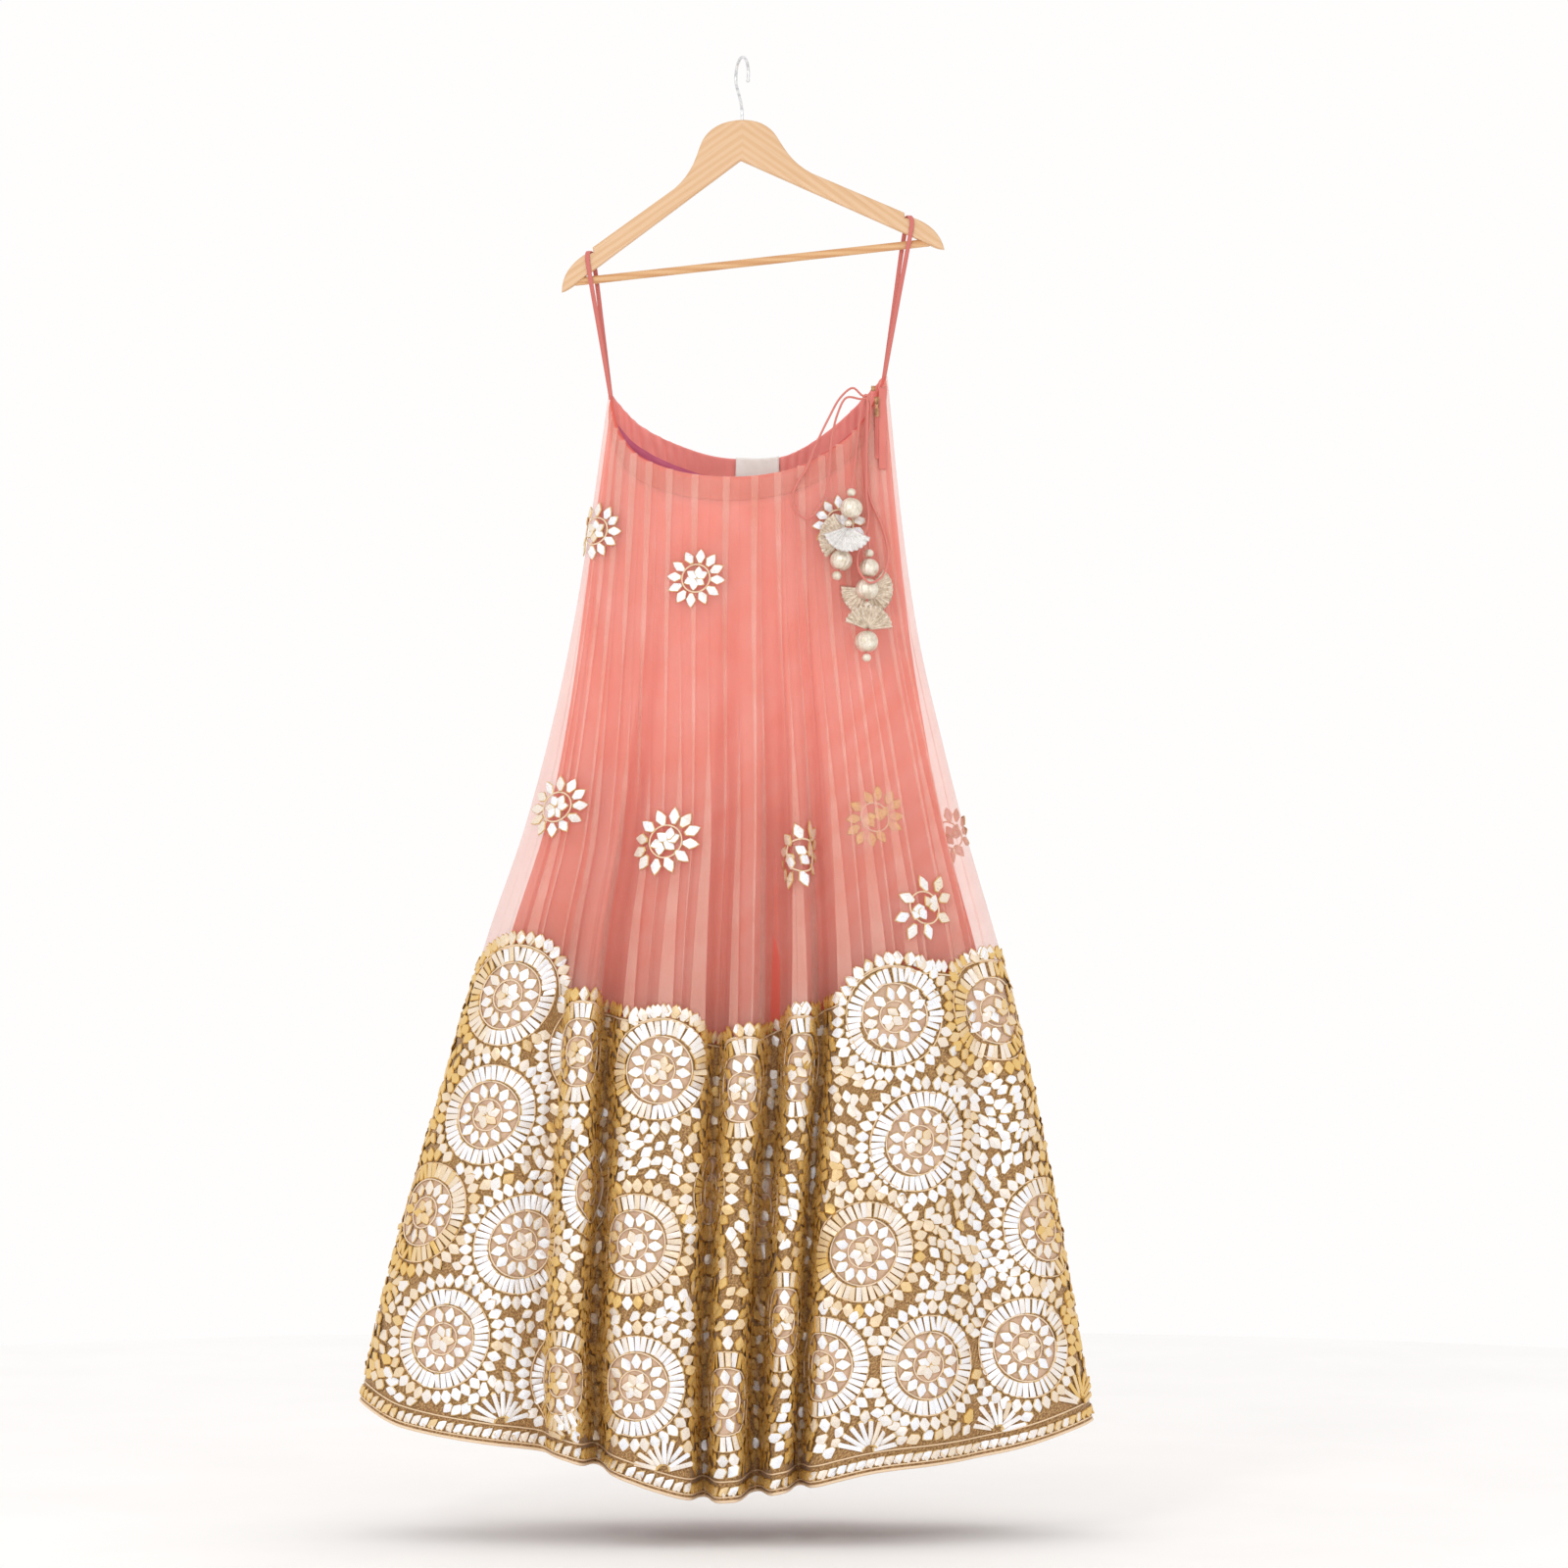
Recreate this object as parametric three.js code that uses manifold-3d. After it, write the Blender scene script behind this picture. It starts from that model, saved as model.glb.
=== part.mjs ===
// A lehenga skirt hanging by two ribbon loops from a wooden trouser hanger.
// Millimetres, +Z up, +X to the right, the skirt's front facing -Y.
// The origin is the inner top of the hook, where the rail carries it.
import * as THREE from 'three';
import { mergeVertices } from 'three/addons/utils/BufferGeometryUtils.js';
import Module from 'manifold-3d';

const wasm = await Module();
wasm.setup();

// ---------- driving dimensions ----------
const GAP = 0.3; // left between neighbouring pieces
const SEAM = 0.7; // left between two panels, along their edges
const CLOTH = 1.5; // wall of every cloth panel
const CASING_HEIGHT = 27;
const HEM_HEIGHT = 24;

// side outlines of the net, [height, x], down from the waist corners
const LEFT_SIDE = [
  [-377, -150], [-517, -170], [-649, -192], [-759, -216], [-869, -246],
  [-982, -285], [-1170, -341], [-1377, -400], [-1530, -434],
];
const RIGHT_SIDE = [
  [-355, 163], [-517, 179], [-649, 198], [-759, 223], [-869, 251],
  [-1008, 291], [-1159, 327], [-1344, 362], [-1530, 394],
];
// half depth of the skirt, [height, depth]
const HALF_DEPTH = [[-355, 26], [-520, 42], [-760, 68], [-1000, 96], [-1600, 140]];
// how far the slip lies inside the net, [height, inset]
const SLIP_SIDE = [[-355, 2.2], [-600, 6], [-880, 22], [-1600, 30]];
const SLIP_DEPTH = [[-355, 2.2], [-520, 9], [-760, 32], [-1000, 57], [-1600, 96]];
const SLIP_LIFT = 60; // the slip ends this far above the hem

// edges across the skirt, [share of the width from the left, height]
const FRONT_WAIST = [
  [0, -377], [0.05, -419], [0.15, -450], [0.37, -469], [0.63, -463],
  [0.81, -434], [0.92, -400], [1, -355],
];
const BACK_WAIST = [
  [0, -377], [0.12, -411], [0.31, -438], [0.45, -447], [0.63, -444],
  [0.8, -412], [1, -355],
];
const FRONT_BORDER = [
  [0, -1008], [0.08, -982], [0.19, -1040], [0.37, -1066], [0.47, -1088],
  [0.61, -1062], [0.8, -1008], [1, -1020],
];
const BACK_BORDER = [[0, -1008], [0.2, -1030], [0.5, -1050], [0.8, -1030], [1, -1020]];
const FRONT_HEM = [
  [0, -1505], [0.07, -1529], [0.27, -1556], [0.47, -1604], [0.6, -1592],
  [0.7, -1574], [0.85, -1560], [1, -1527],
];
const BACK_HEM = [[0, -1505], [0.25, -1545], [0.5, -1562], [0.76, -1572], [1, -1527]];

// folds, [share of the width at the hem, how far the cloth is drawn in]
const FRONT_FOLDS = [
  [0, 0], [0.02, 0], [0.05, 0], [0.1, 0], [0.16, 0], [0.2, 6], [0.235, 24],
  [0.262, 34], [0.275, 10], [0.29, 0], [0.312, 4], [0.325, 58], [0.337, 60],
  [0.352, 12], [0.385, 0], [0.42, -3], [0.456, 4], [0.469, 50], [0.479, 50],
  [0.49, 6], [0.507, 0], [0.522, 8], [0.534, 66], [0.549, 70], [0.562, 10],
  [0.574, 2], [0.586, 10], [0.596, 52], [0.605, 52], [0.617, 8], [0.65, 0],
  [0.71, 0], [0.77, 2], [0.815, 14], [0.845, 22], [0.88, 10], [0.92, 0],
  [0.96, 0], [0.98, 0], [1, 0],
];
const BACK_FOLDS = [
  [0, 0], [0.02, 0], [0.05, 0], [0.1, 0], [0.17, 2], [0.22, 30], [0.25, 34],
  [0.28, 6], [0.33, 0], [0.37, 8], [0.39, 52], [0.41, 54], [0.435, 8], [0.48, 0],
  [0.53, 4], [0.55, 50], [0.57, 52], [0.595, 6], [0.64, 0], [0.69, 6],
  [0.715, 46], [0.735, 46], [0.76, 6], [0.82, 0], [0.88, 12], [0.93, 2],
  [0.96, 0], [0.98, 0], [1, 0],
];
// folds hang nearly upright, so higher up they lie further apart in share of the width
const FOLD_SPREAD = [[-440, 1.8], [-700, 1.8], [-1040, 1.6], [-1250, 1.28], [-1560, 1]];
const WAIST_LEVEL = -440;
const BORDER_LEVEL = -1040;
const FOLD_GROWTH = [[-470, 0], [-700, 0.22], [-1000, 0.72], [-1250, 0.95], [-1600, 1.05]];
const SMOOTH_STATIONS = [0, 0.02, 0.05, 0.1, 0.18, 0.26, 0.34, 0.42, 0.5, 0.58, 0.66, 0.74,
  0.82, 0.9, 0.95, 0.98, 1].map((share) => [share, 0]);

// hanger, in its own frame: origin at the crown's top, before it is tilted
const HANGER_AT = new THREE.Vector3(-6.5, 0, -69.4);
const HANGER_TILT = THREE.MathUtils.degToRad(6.36);
const ARM_THICKNESS = 12;
const ARM_BEVEL = 1.5;
const ROD_RADIUS = 4.5;
const ROD_HALF = 200;
const ROD_Z = -160;
const WIRE_RADIUS = 1.75;
const HOOK_RADIUS = 21; // to the middle of the wire
const HOOK_TURN = THREE.MathUtils.degToRad(110); // its plane, from +X

const CORD_RADIUS = 1.25;
const RIBBON = { width: 7, thickness: 1 };

// ---------- materials ----------
const colours = {
  wood: [0xe3b178, 0.5, 0], steel: [0xd8d8d6, 0.25, 1], coral: [0xe2857a, 0.8, 0],
  net: [0xf0beae, 0.9, 0], casing: [0xd98076, 0.85, 0], magenta: [0xd4547c, 0.7, 0],
  label: [0xf4efe8, 0.8, 0], border: [0xd8bd86, 0.45, 0.4], cord: [0xc96f66, 0.8, 0],
  brass: [0xb98d63, 0.35, 0.9], silver: [0xdcd6cc, 0.35, 0.6], petal: [0xeee6d2, 0.35, 0.5],
};
const materials = {};
for (const [name, [color, roughness, metalness]] of Object.entries(colours)) {
  materials[name] = new THREE.MeshStandardMaterial({ color, roughness, metalness });
}

const object = new THREE.Group();
function place(name, geometry, material, parent = object) {
  const mesh = new THREE.Mesh(geometry, materials[material]);
  mesh.name = name;
  parent.add(mesh);
  return mesh;
}

// ---------- reading the tables ----------
// a smooth curve through [x, y] points, with level ends
function curveAt(points, x) {
  const rising = points[0][0] < points[points.length - 1][0];
  const list = rising ? points : [...points].reverse();
  const last = list.length - 1;
  if (x <= list[0][0]) return list[0][1];
  if (x >= list[last][0]) return list[last][1];
  const i = list.findIndex((point) => point[0] > x) - 1;
  const slope = (k) => {
    const [a, b] = [list[Math.max(k - 1, 0)], list[Math.min(k + 1, last)]];
    return (b[1] - a[1]) / (b[0] - a[0]);
  };
  const span = list[i + 1][0] - list[i][0];
  const t = (x - list[i][0]) / span;
  const [t2, t3] = [t * t, t * t * t];
  return (2 * t3 - 3 * t2 + 1) * list[i][1] + (t3 - 2 * t2 + t) * span * slope(i)
    + (3 * t2 - 2 * t3) * list[i + 1][1] + (t3 - t2) * span * slope(i + 1);
}

function straightAt(points, x) {
  const i = Math.max(0, Math.min(points.length - 2, points.findIndex((p) => p[0] >= x) - 1));
  const [[x0, y0], [x1, y1]] = [points[i], points[i + 1]];
  return y0 + (y1 - y0) * Math.min(1, Math.max(0, (x - x0) / (x1 - x0)));
}

// ---------- solids from grids of points ----------
// outer[i][j] runs right and down as seen from outside; inner has the same layout
function shellSolid(outer, inner) {
  const columns = outer.length;
  const rows = outer[0].length;
  const positions = [...outer.flat(), ...inner.flat()].flatMap((p) => [p.x, p.y, p.z]);
  const at = (i, j, side) => side * columns * rows + i * rows + j;
  const faces = [];
  const wall = (a, b, c, d) => faces.push(b, a, c, b, c, d);
  for (let i = 0; i < columns - 1; i += 1) {
    for (let j = 0; j < rows - 1; j += 1) {
      const [a, b, c, d] = [[i, j], [i, j + 1], [i + 1, j], [i + 1, j + 1]];
      faces.push(at(...a, 0), at(...b, 0), at(...c, 0), at(...c, 0), at(...b, 0), at(...d, 0));
      faces.push(at(...a, 1), at(...c, 1), at(...b, 1), at(...c, 1), at(...d, 1), at(...b, 1));
    }
    wall(at(i + 1, 0, 0), at(i, 0, 0), at(i + 1, 0, 1), at(i, 0, 1));
    const end = rows - 1;
    wall(at(i, end, 0), at(i + 1, end, 0), at(i, end, 1), at(i + 1, end, 1));
  }
  for (let j = 0; j < rows - 1; j += 1) {
    const end = columns - 1;
    wall(at(0, j, 0), at(0, j + 1, 0), at(0, j, 1), at(0, j + 1, 1));
    wall(at(end, j + 1, 0), at(end, j, 0), at(end, j + 1, 1), at(end, j, 1));
  }
  const geometry = new THREE.BufferGeometry();
  geometry.setAttribute('position', new THREE.Float32BufferAttribute(positions, 3));
  geometry.setIndex(faces);
  return geometry;
}

// ---------- the skirt's surfaces ----------
// where a column that has this share of the width at the hem stands at height z
function spreadAt(hemShare, z) {
  const out = 2 * hemShare - 1;
  return 0.5 + 0.5 * Math.sign(out) * (1 - (1 - Math.abs(out)) ** curveAt(FOLD_SPREAD, z));
}

function hemShareOf(share, z) {
  const out = 2 * share - 1;
  return 0.5 + 0.5 * Math.sign(out) * (1 - (1 - Math.abs(out)) ** (1 / curveAt(FOLD_SPREAD, z)));
}

// Sides: front = 1, back = -1. A point is given by its share of the width and its height.
const isFront = (side) => side > 0;
const foldsOf = (side) => (isFront(side) ? FRONT_FOLDS : BACK_FOLDS);

function netPoint(side, share, z) {
  const left = curveAt(LEFT_SIDE, z);
  const right = curveAt(RIGHT_SIDE, z);
  const round = Math.sqrt(Math.max(0, 1 - (2 * share - 1) ** 2));
  const drawnIn = straightAt(foldsOf(side), hemShareOf(share, z)) * curveAt(FOLD_GROWTH, z);
  const depth = curveAt(HALF_DEPTH, z) * round - drawnIn;
  return new THREE.Vector3(left + share * (right - left), -side * (depth + GAP / 2), z);
}

function slipPoint(side, share, z) {
  const inset = curveAt(SLIP_SIDE, z);
  const left = curveAt(LEFT_SIDE, z) + inset;
  const right = curveAt(RIGHT_SIDE, z) - inset;
  const round = Math.sqrt(Math.max(0, 1 - (2 * share - 1) ** 2));
  const depth = (curveAt(HALF_DEPTH, z) - curveAt(SLIP_DEPTH, z)) * round;
  return new THREE.Vector3(left + share * (right - left), -side * (depth + GAP / 2), z);
}

// moves each column of points sideways, level, along the surface's own normal
function movedIn(grid, distance) {
  const last = grid.length - 1;
  return grid.map((column, i) => column.map((point, j) => {
    const before = grid[Math.max(i - 1, 0)][j];
    const after = grid[Math.min(i + 1, last)][j];
    const along = new THREE.Vector3(after.x - before.x, after.y - before.y, 0).normalize();
    if (Math.abs(point.y) < GAP) along.set(0, (i === 0 ? -1 : 1) * Math.sign(after.x - before.x), 0);
    const inward = new THREE.Vector3(-along.y, along.x, 0);
    return point.clone().addScaledVector(inward, distance);
  }));
}

const columnPoint = (surface, side, hemShare, z) => surface(side, spreadAt(hemShare, z), z);

// a panel between two edges: stations across, rows down, wall moved in from its face
function panel(side, surface, stations, topAt, bottomAt, rows, thickness, sunk = 0) {
  const shares = stations.map(([share]) => share);
  if (!isFront(side)) shares.reverse();
  const face = shares.map((share) => {
    const top = topAt(share);
    const bottom = bottomAt(share);
    return Array.from({ length: rows + 1 }, (_, j) => (
      columnPoint(surface, side, share, top + (bottom - top) * (j / rows))
    ));
  });
  return shellSolid(sunk ? movedIn(face, sunk) : face, movedIn(face, sunk + thickness));
}

for (const [end, side, waist, border, hem] of [
  ['front', 1, FRONT_WAIST, FRONT_BORDER, FRONT_HEM],
  ['back', -1, BACK_WAIST, BACK_BORDER, BACK_HEM],
]) {
  const stations = foldsOf(side);
  const waistAt = (share) => curveAt(waist, spreadAt(share, WAIST_LEVEL));
  const casingFoot = (share) => waistAt(share) - CASING_HEIGHT;
  const borderAt = (share) => curveAt(border, spreadAt(share, BORDER_LEVEL));
  const hemTop = (share) => curveAt(hem, share) + HEM_HEIGHT;
  place(`casing_${end}`, panel(side, slipPoint, SMOOTH_STATIONS, waistAt, casingFoot, 1, CLOTH), 'casing');
  place(`slip_${end}`, panel(side, slipPoint, SMOOTH_STATIONS, (share) => casingFoot(share) - 2 * SEAM,
    (share) => curveAt(hem, share) + SLIP_LIFT, 7, CLOTH), 'coral');
  place(`net_${end}`, panel(side, netPoint, stations, waistAt,
    (share) => borderAt(share) + SEAM / 2, 7, CLOTH), 'net');
  place(`border_${end}`, panel(side, netPoint, stations, (share) => borderAt(share) - SEAM / 2,
    (share) => hemTop(share) + SEAM / 2, 4, CLOTH), 'border');
  place(`hem_${end}`, panel(side, netPoint, stations, (share) => hemTop(share) - SEAM / 2,
    (share) => curveAt(hem, share), 1, CLOTH), 'petal');
}

// inside the back: a lining yoke below the casing and a plain woven label
const LINING = { height: 110, thickness: 1, from: 0.08, to: 0.92, inside: 1.8 };
const LABEL = { width: 50, height: 24, thickness: 1, share: 0.535, above: 1, inside: 1.5 };
const liningStations = SMOOTH_STATIONS.filter(([s]) => s >= LINING.from && s <= LINING.to);
const backWaistAt = (share) => curveAt(BACK_WAIST, spreadAt(share, WAIST_LEVEL));
const backCasingFoot = (share) => backWaistAt(share) - CASING_HEIGHT - 1;
place('lining_back', panel(-1, slipPoint, liningStations, backCasingFoot,
  (share) => backCasingFoot(share) - LINING.height, 3, LINING.thickness, CLOTH + LINING.inside), 'magenta');
const labelHalf = LABEL.width / 2 / (curveAt(RIGHT_SIDE, -450) - curveAt(LEFT_SIDE, -450));
const labelStations = [-1, 0, 1].map((k) => (
  [hemShareOf(LABEL.share + k * labelHalf, WAIST_LEVEL), 0]));
const labelTop = (share) => backWaistAt(share) + LABEL.above;
place('label', panel(-1, slipPoint, labelStations, labelTop,
  (share) => labelTop(share) - LABEL.height, 1, LABEL.thickness, CLOTH + LABEL.inside), 'label');

// ---------- hanger ----------
const hanger = new THREE.Group();
hanger.position.copy(HANGER_AT);
hanger.rotation.y = -HANGER_TILT;
object.add(hanger);

function closedCopy(geometry) {
  const bare = geometry.index ? geometry.toNonIndexed() : geometry.clone();
  bare.deleteAttribute('normal');
  bare.deleteAttribute('uv');
  return mergeVertices(bare, 1e-4);
}

function manifoldOf(geometry, matrix) {
  const merged = closedCopy(geometry.clone().applyMatrix4(matrix));
  return new wasm.Manifold(new wasm.Mesh({
    numProp: 3,
    vertProperties: new Float32Array(merged.attributes.position.array),
    triVerts: new Uint32Array(merged.index.array),
  }));
}

function geometryOf(solid) {
  const mesh = solid.getMesh();
  const geometry = new THREE.BufferGeometry();
  geometry.setAttribute('position', new THREE.BufferAttribute(mesh.vertProperties, 3));
  geometry.setIndex(new THREE.BufferAttribute(mesh.triVerts, 1));
  return geometry;
}

// The right half of the outline, from the crown's top to the middle of the underside. A run of
// three points is a curve's two handles and its end. A single point ends a straight line.
const ARM_HALF = [
  [[24, 0], [37, -11], [43, -23]], [[52, -42], [60, -60], [87, -74]],
  [[176, -124]], [[176, -130]], [[184, -130]],
  [[203, -139], [214, -152], [216, -170]], [[206, -169], [196, -160], [182, -152]],
  [[0, -45.5]],
];
function armOutline() {
  const shape = new THREE.Shape();
  shape.moveTo(0, 0);
  const draw = (run) => (
    run.length === 1 ? shape.lineTo(...run[0]) : shape.bezierCurveTo(...run.flat()));
  ARM_HALF.forEach(draw);
  // back up the left half: each run is reversed and ends where the one before it began
  const flip = ([x, z]) => [-x, z];
  for (let k = ARM_HALF.length - 1; k > 0; k -= 1) {
    const handles = ARM_HALF[k].slice(0, -1).reverse().map(flip);
    draw([...handles, flip(ARM_HALF[k - 1].at(-1))]);
  }
  const [first] = ARM_HALF;
  draw([...first.slice(0, -1).reverse().map(flip), [0, 0]]);
  return shape;
}

const armGeometry = new THREE.ExtrudeGeometry(armOutline(), {
  depth: ARM_THICKNESS - 2 * ARM_BEVEL, bevelEnabled: true, bevelThickness: ARM_BEVEL,
  bevelSize: ARM_BEVEL, bevelOffset: -ARM_BEVEL, bevelSegments: 1, curveSegments: 8,
});
// the shape's y is the hanger's z; the extrusion runs from front to back
const standUp = new THREE.Matrix4().makeRotationX(Math.PI / 2)
  .setPosition(0, ARM_THICKNESS / 2 - ARM_BEVEL, 0);
const rod = new THREE.CylinderGeometry(ROD_RADIUS, ROD_RADIUS, 2 * ROD_HALF, 16)
  .rotateZ(Math.PI / 2).translate(0, 0, ROD_Z);
const socket = new THREE.CylinderGeometry(ROD_RADIUS + GAP, ROD_RADIUS + GAP,
  2 * (ROD_HALF + GAP), 16).rotateZ(Math.PI / 2).translate(0, 0, ROD_Z);
const STEM_DEPTH = 18;
const stemHole = new THREE.CylinderGeometry(WIRE_RADIUS + GAP, WIRE_RADIUS + GAP, STEM_DEPTH * 2, 12)
  .rotateX(Math.PI / 2).translate(0, 0, HANGER_AT.z);
const still = new THREE.Matrix4();
hanger.updateMatrixWorld(true);
const intoHanger = hanger.matrixWorld.clone().invert();
place('hanger_arms', geometryOf(manifoldOf(armGeometry, standUp)
  .subtract(manifoldOf(socket, still)).subtract(manifoldOf(stemHole, intoHanger))), 'wood', hanger);
place('hanger_bar', rod, 'wood', hanger);

// ---------- hook ----------
function circleShape(radius, sides) {
  const points = Array.from({ length: sides }, (_, k) => {
    const angle = (k / sides) * 2 * Math.PI;
    return new THREE.Vector2(radius * Math.cos(angle), radius * Math.sin(angle));
  });
  return new THREE.Shape(points);
}

function tube(points, radius, steps, sides) {
  return new THREE.ExtrudeGeometry(circleShape(radius, sides), {
    steps, extrudePath: new THREE.CatmullRomCurve3(points, false, 'centripetal'),
  });
}

const hookCentre = WIRE_RADIUS - HOOK_RADIUS;
const hookAt = (out, z) => new THREE.Vector3(out * Math.cos(HOOK_TURN), out * Math.sin(HOOK_TURN), z);
const hookPath = [
  hookAt(0, HANGER_AT.z - STEM_DEPTH + 4), hookAt(0, HANGER_AT.z), hookAt(0, -60), hookAt(3, -51),
];
for (let angle = -50; angle <= 200; angle += 25) {
  const turn = THREE.MathUtils.degToRad(angle);
  hookPath.push(hookAt(HOOK_RADIUS * Math.cos(turn), hookCentre + HOOK_RADIUS * Math.sin(turn)));
}
place('hook', tube(hookPath, WIRE_RADIUS, 34, 8), 'steel');

// ---------- hanging loops ----------
// a flat ribbon along a path, its width kept across the path in the picture plane
function ribbon(path, width, thickness, steps) {
  const curve = new THREE.CatmullRomCurve3(path, false, 'centripetal');
  const grid = { outer: [[], []], inner: [[], []] };
  curve.getPoints(steps).forEach((point, k) => {
    const tangent = curve.getTangent(k / steps);
    const across = new THREE.Vector3(1, 0, 0).addScaledVector(tangent, -tangent.x).normalize();
    const normal = new THREE.Vector3().crossVectors(across, tangent).normalize();
    [-1, 1].forEach((edge, i) => {
      const rim = point.clone().addScaledVector(across, edge * width / 2);
      grid.outer[i].push(rim.clone().addScaledVector(normal, -thickness / 2));
      grid.inner[i].push(rim.clone().addScaledVector(normal, thickness / 2));
    });
  });
  return shellSolid(grid.outer, grid.inner);
}

const onHanger = (x, y, z) => hanger.localToWorld(new THREE.Vector3(x, y, z));
hanger.updateMatrixWorld(true);
const NOTCH_X = 180;
const NOTCH_Z = -130;
for (const [name, sign, corner] of [
  ['loop_left', -1, new THREE.Vector3(-148, 0, -377)],
  ['loop_right', 1, new THREE.Vector3(160, 0, -355)],
]) {
  const out = ARM_THICKNESS / 2 + GAP + RIBBON.thickness;
  const over = NOTCH_Z + 2 * RIBBON.thickness;
  const low = new THREE.Vector3(corner.x, 0, corner.z + 1.5);
  const notch = (y) => onHanger(sign * NOTCH_X, y, NOTCH_Z - 5);
  // taut from the waist's corner to the notch, clear of the bar's end
  const strand = (y) => [
    low.clone().setY(y * 0.12), low.clone().lerp(notch(0), 0.5).setY(y * 0.75),
    low.clone().lerp(notch(0), 0.8).setY(y), notch(y), onHanger(sign * NOTCH_X, y * 0.9, NOTCH_Z),
  ];
  const path = [
    ...strand(-out), onHanger(sign * NOTCH_X, -out * 0.55, over),
    onHanger(sign * NOTCH_X, out * 0.55, over), ...strand(out).reverse(),
  ];
  place(name, ribbon(path, RIBBON.width, RIBBON.thickness, 3 * (path.length - 1)), 'cord');
}

// ---------- what lies on the front ----------
// the front's face at a place in the picture plane, moved out by lift
function onFace(x, z, lift, side = 1) {
  const left = curveAt(LEFT_SIDE, z);
  const share = (x - left) / (curveAt(RIGHT_SIDE, z) - left);
  const point = netPoint(side, Math.min(0.999, Math.max(0.001, share)), z);
  return new THREE.Vector3(x, point.y - side * lift, z);
}

// a strip down the face at x, its points moved out from the face
function strip(x, top, bottom, width, thickness, lift) {
  const [columns, rows] = [4, 4];
  const grid = (out) => Array.from({ length: columns + 1 }, (_, i) => (
    Array.from({ length: rows + 1 }, (__, j) => {
      const z = top + (bottom - top) * (j / rows);
      return onFace(x + width * (i / columns - 0.5), z, lift + out);
    })));
  return shellSolid(grid(thickness), grid(0));
}
place('placket', strip(157.5, -373, -440, 8, 1.2, 1), 'casing');
place('zip_tape', strip(151, -391, -450, 4, 1, 0.8), 'brass');

// ---------- side zip ----------
// The slider's arch stands out from its face. The pull tab's top bar runs through the arch.
const ZIP = { x: 151, z: -385, topHalf: 2.8, footHalf: 2.1, halfHeight: 4.5, depth: 2.4 };
const ARCH = { out: 2.6, half: 3.4, wall: 0.8, width: 1.2 };
const TAB = { half: 1.9, window: 0.9, bar: 0.5, windowFoot: 4.3, neck: 1, belly: 3.4, length: 18 };
const TAB_THICKNESS = 0.8;
const TAB_OUT = 0.95; // from the slider's face to the bar that the tab turns on
const zipFaceY = onFace(ZIP.x - ZIP.topHalf, ZIP.z, 1).y - ZIP.depth;

const flat = (pairs) => new THREE.Shape(pairs.map(([a, b]) => new THREE.Vector2(a, b)));
const sliderBody = new THREE.ExtrudeGeometry(flat([
  [-ZIP.footHalf, -ZIP.halfHeight], [ZIP.footHalf, -ZIP.halfHeight],
  [ZIP.topHalf, ZIP.halfHeight], [-ZIP.topHalf, ZIP.halfHeight],
]), { depth: ZIP.depth, bevelEnabled: false }).rotateX(Math.PI / 2).translate(0, ZIP.depth, 0);
const arch = new THREE.ExtrudeGeometry(flat([
  [0.5, -ARCH.half], [-ARCH.out, -ARCH.half], [-ARCH.out, ARCH.half], [0.5, ARCH.half],
  [0.5, ARCH.half - ARCH.wall], [ARCH.wall - ARCH.out, ARCH.half - ARCH.wall],
  [ARCH.wall - ARCH.out, ARCH.wall - ARCH.half], [0.5, ARCH.wall - ARCH.half],
]), { depth: ARCH.width, bevelEnabled: false });
// the arch's outline is drawn in y and z and extruded along x
const archTurn = new THREE.Matrix4().makeBasis(new THREE.Vector3(0, 1, 0),
  new THREE.Vector3(0, 0, 1), new THREE.Vector3(1, 0, 0)).setPosition(-ARCH.width / 2, 0, 0);
const slider = geometryOf(manifoldOf(sliderBody, still).add(manifoldOf(arch, archTurn)));
place('zip_slider', slider, 'brass').position.set(ZIP.x, zipFaceY, ZIP.z);

const tabShape = new THREE.Shape();
tabShape.moveTo(-TAB.half, TAB.bar);
tabShape.lineTo(-TAB.half, -TAB.windowFoot);
tabShape.lineTo(-TAB.neck, -TAB.windowFoot - 1.5);
tabShape.bezierCurveTo(-TAB.belly, -11, -TAB.belly, -TAB.length, 0, -TAB.length);
tabShape.bezierCurveTo(TAB.belly, -TAB.length, TAB.belly, -11, TAB.neck, -TAB.windowFoot - 1.5);
tabShape.lineTo(TAB.half, -TAB.windowFoot);
tabShape.lineTo(TAB.half, TAB.bar);
const tabPlate = new THREE.ExtrudeGeometry(tabShape, {
  depth: TAB_THICKNESS, bevelEnabled: false, curveSegments: 8,
}).rotateX(Math.PI / 2).translate(0, TAB_THICKNESS / 2, 0);
const windowHeight = TAB.windowFoot - TAB.bar;
const tabWindow = new THREE.BoxGeometry(2 * TAB.window, 2 * TAB_THICKNESS, windowHeight)
  .translate(0, 0, -TAB.bar - windowHeight / 2);
const tab = geometryOf(manifoldOf(tabPlate, still).subtract(manifoldOf(tabWindow, still)));
place('pull_tab', tab, 'brass').position.set(ZIP.x, zipFaceY - TAB_OUT, ZIP.z);

// the small hook that closes the placket above the zip
const waistHookAt = onFace(147, -371, 3);
place('waist_hook', new THREE.BoxGeometry(5, 1.4, 6), 'brass').position.copy(waistHookAt);

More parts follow.
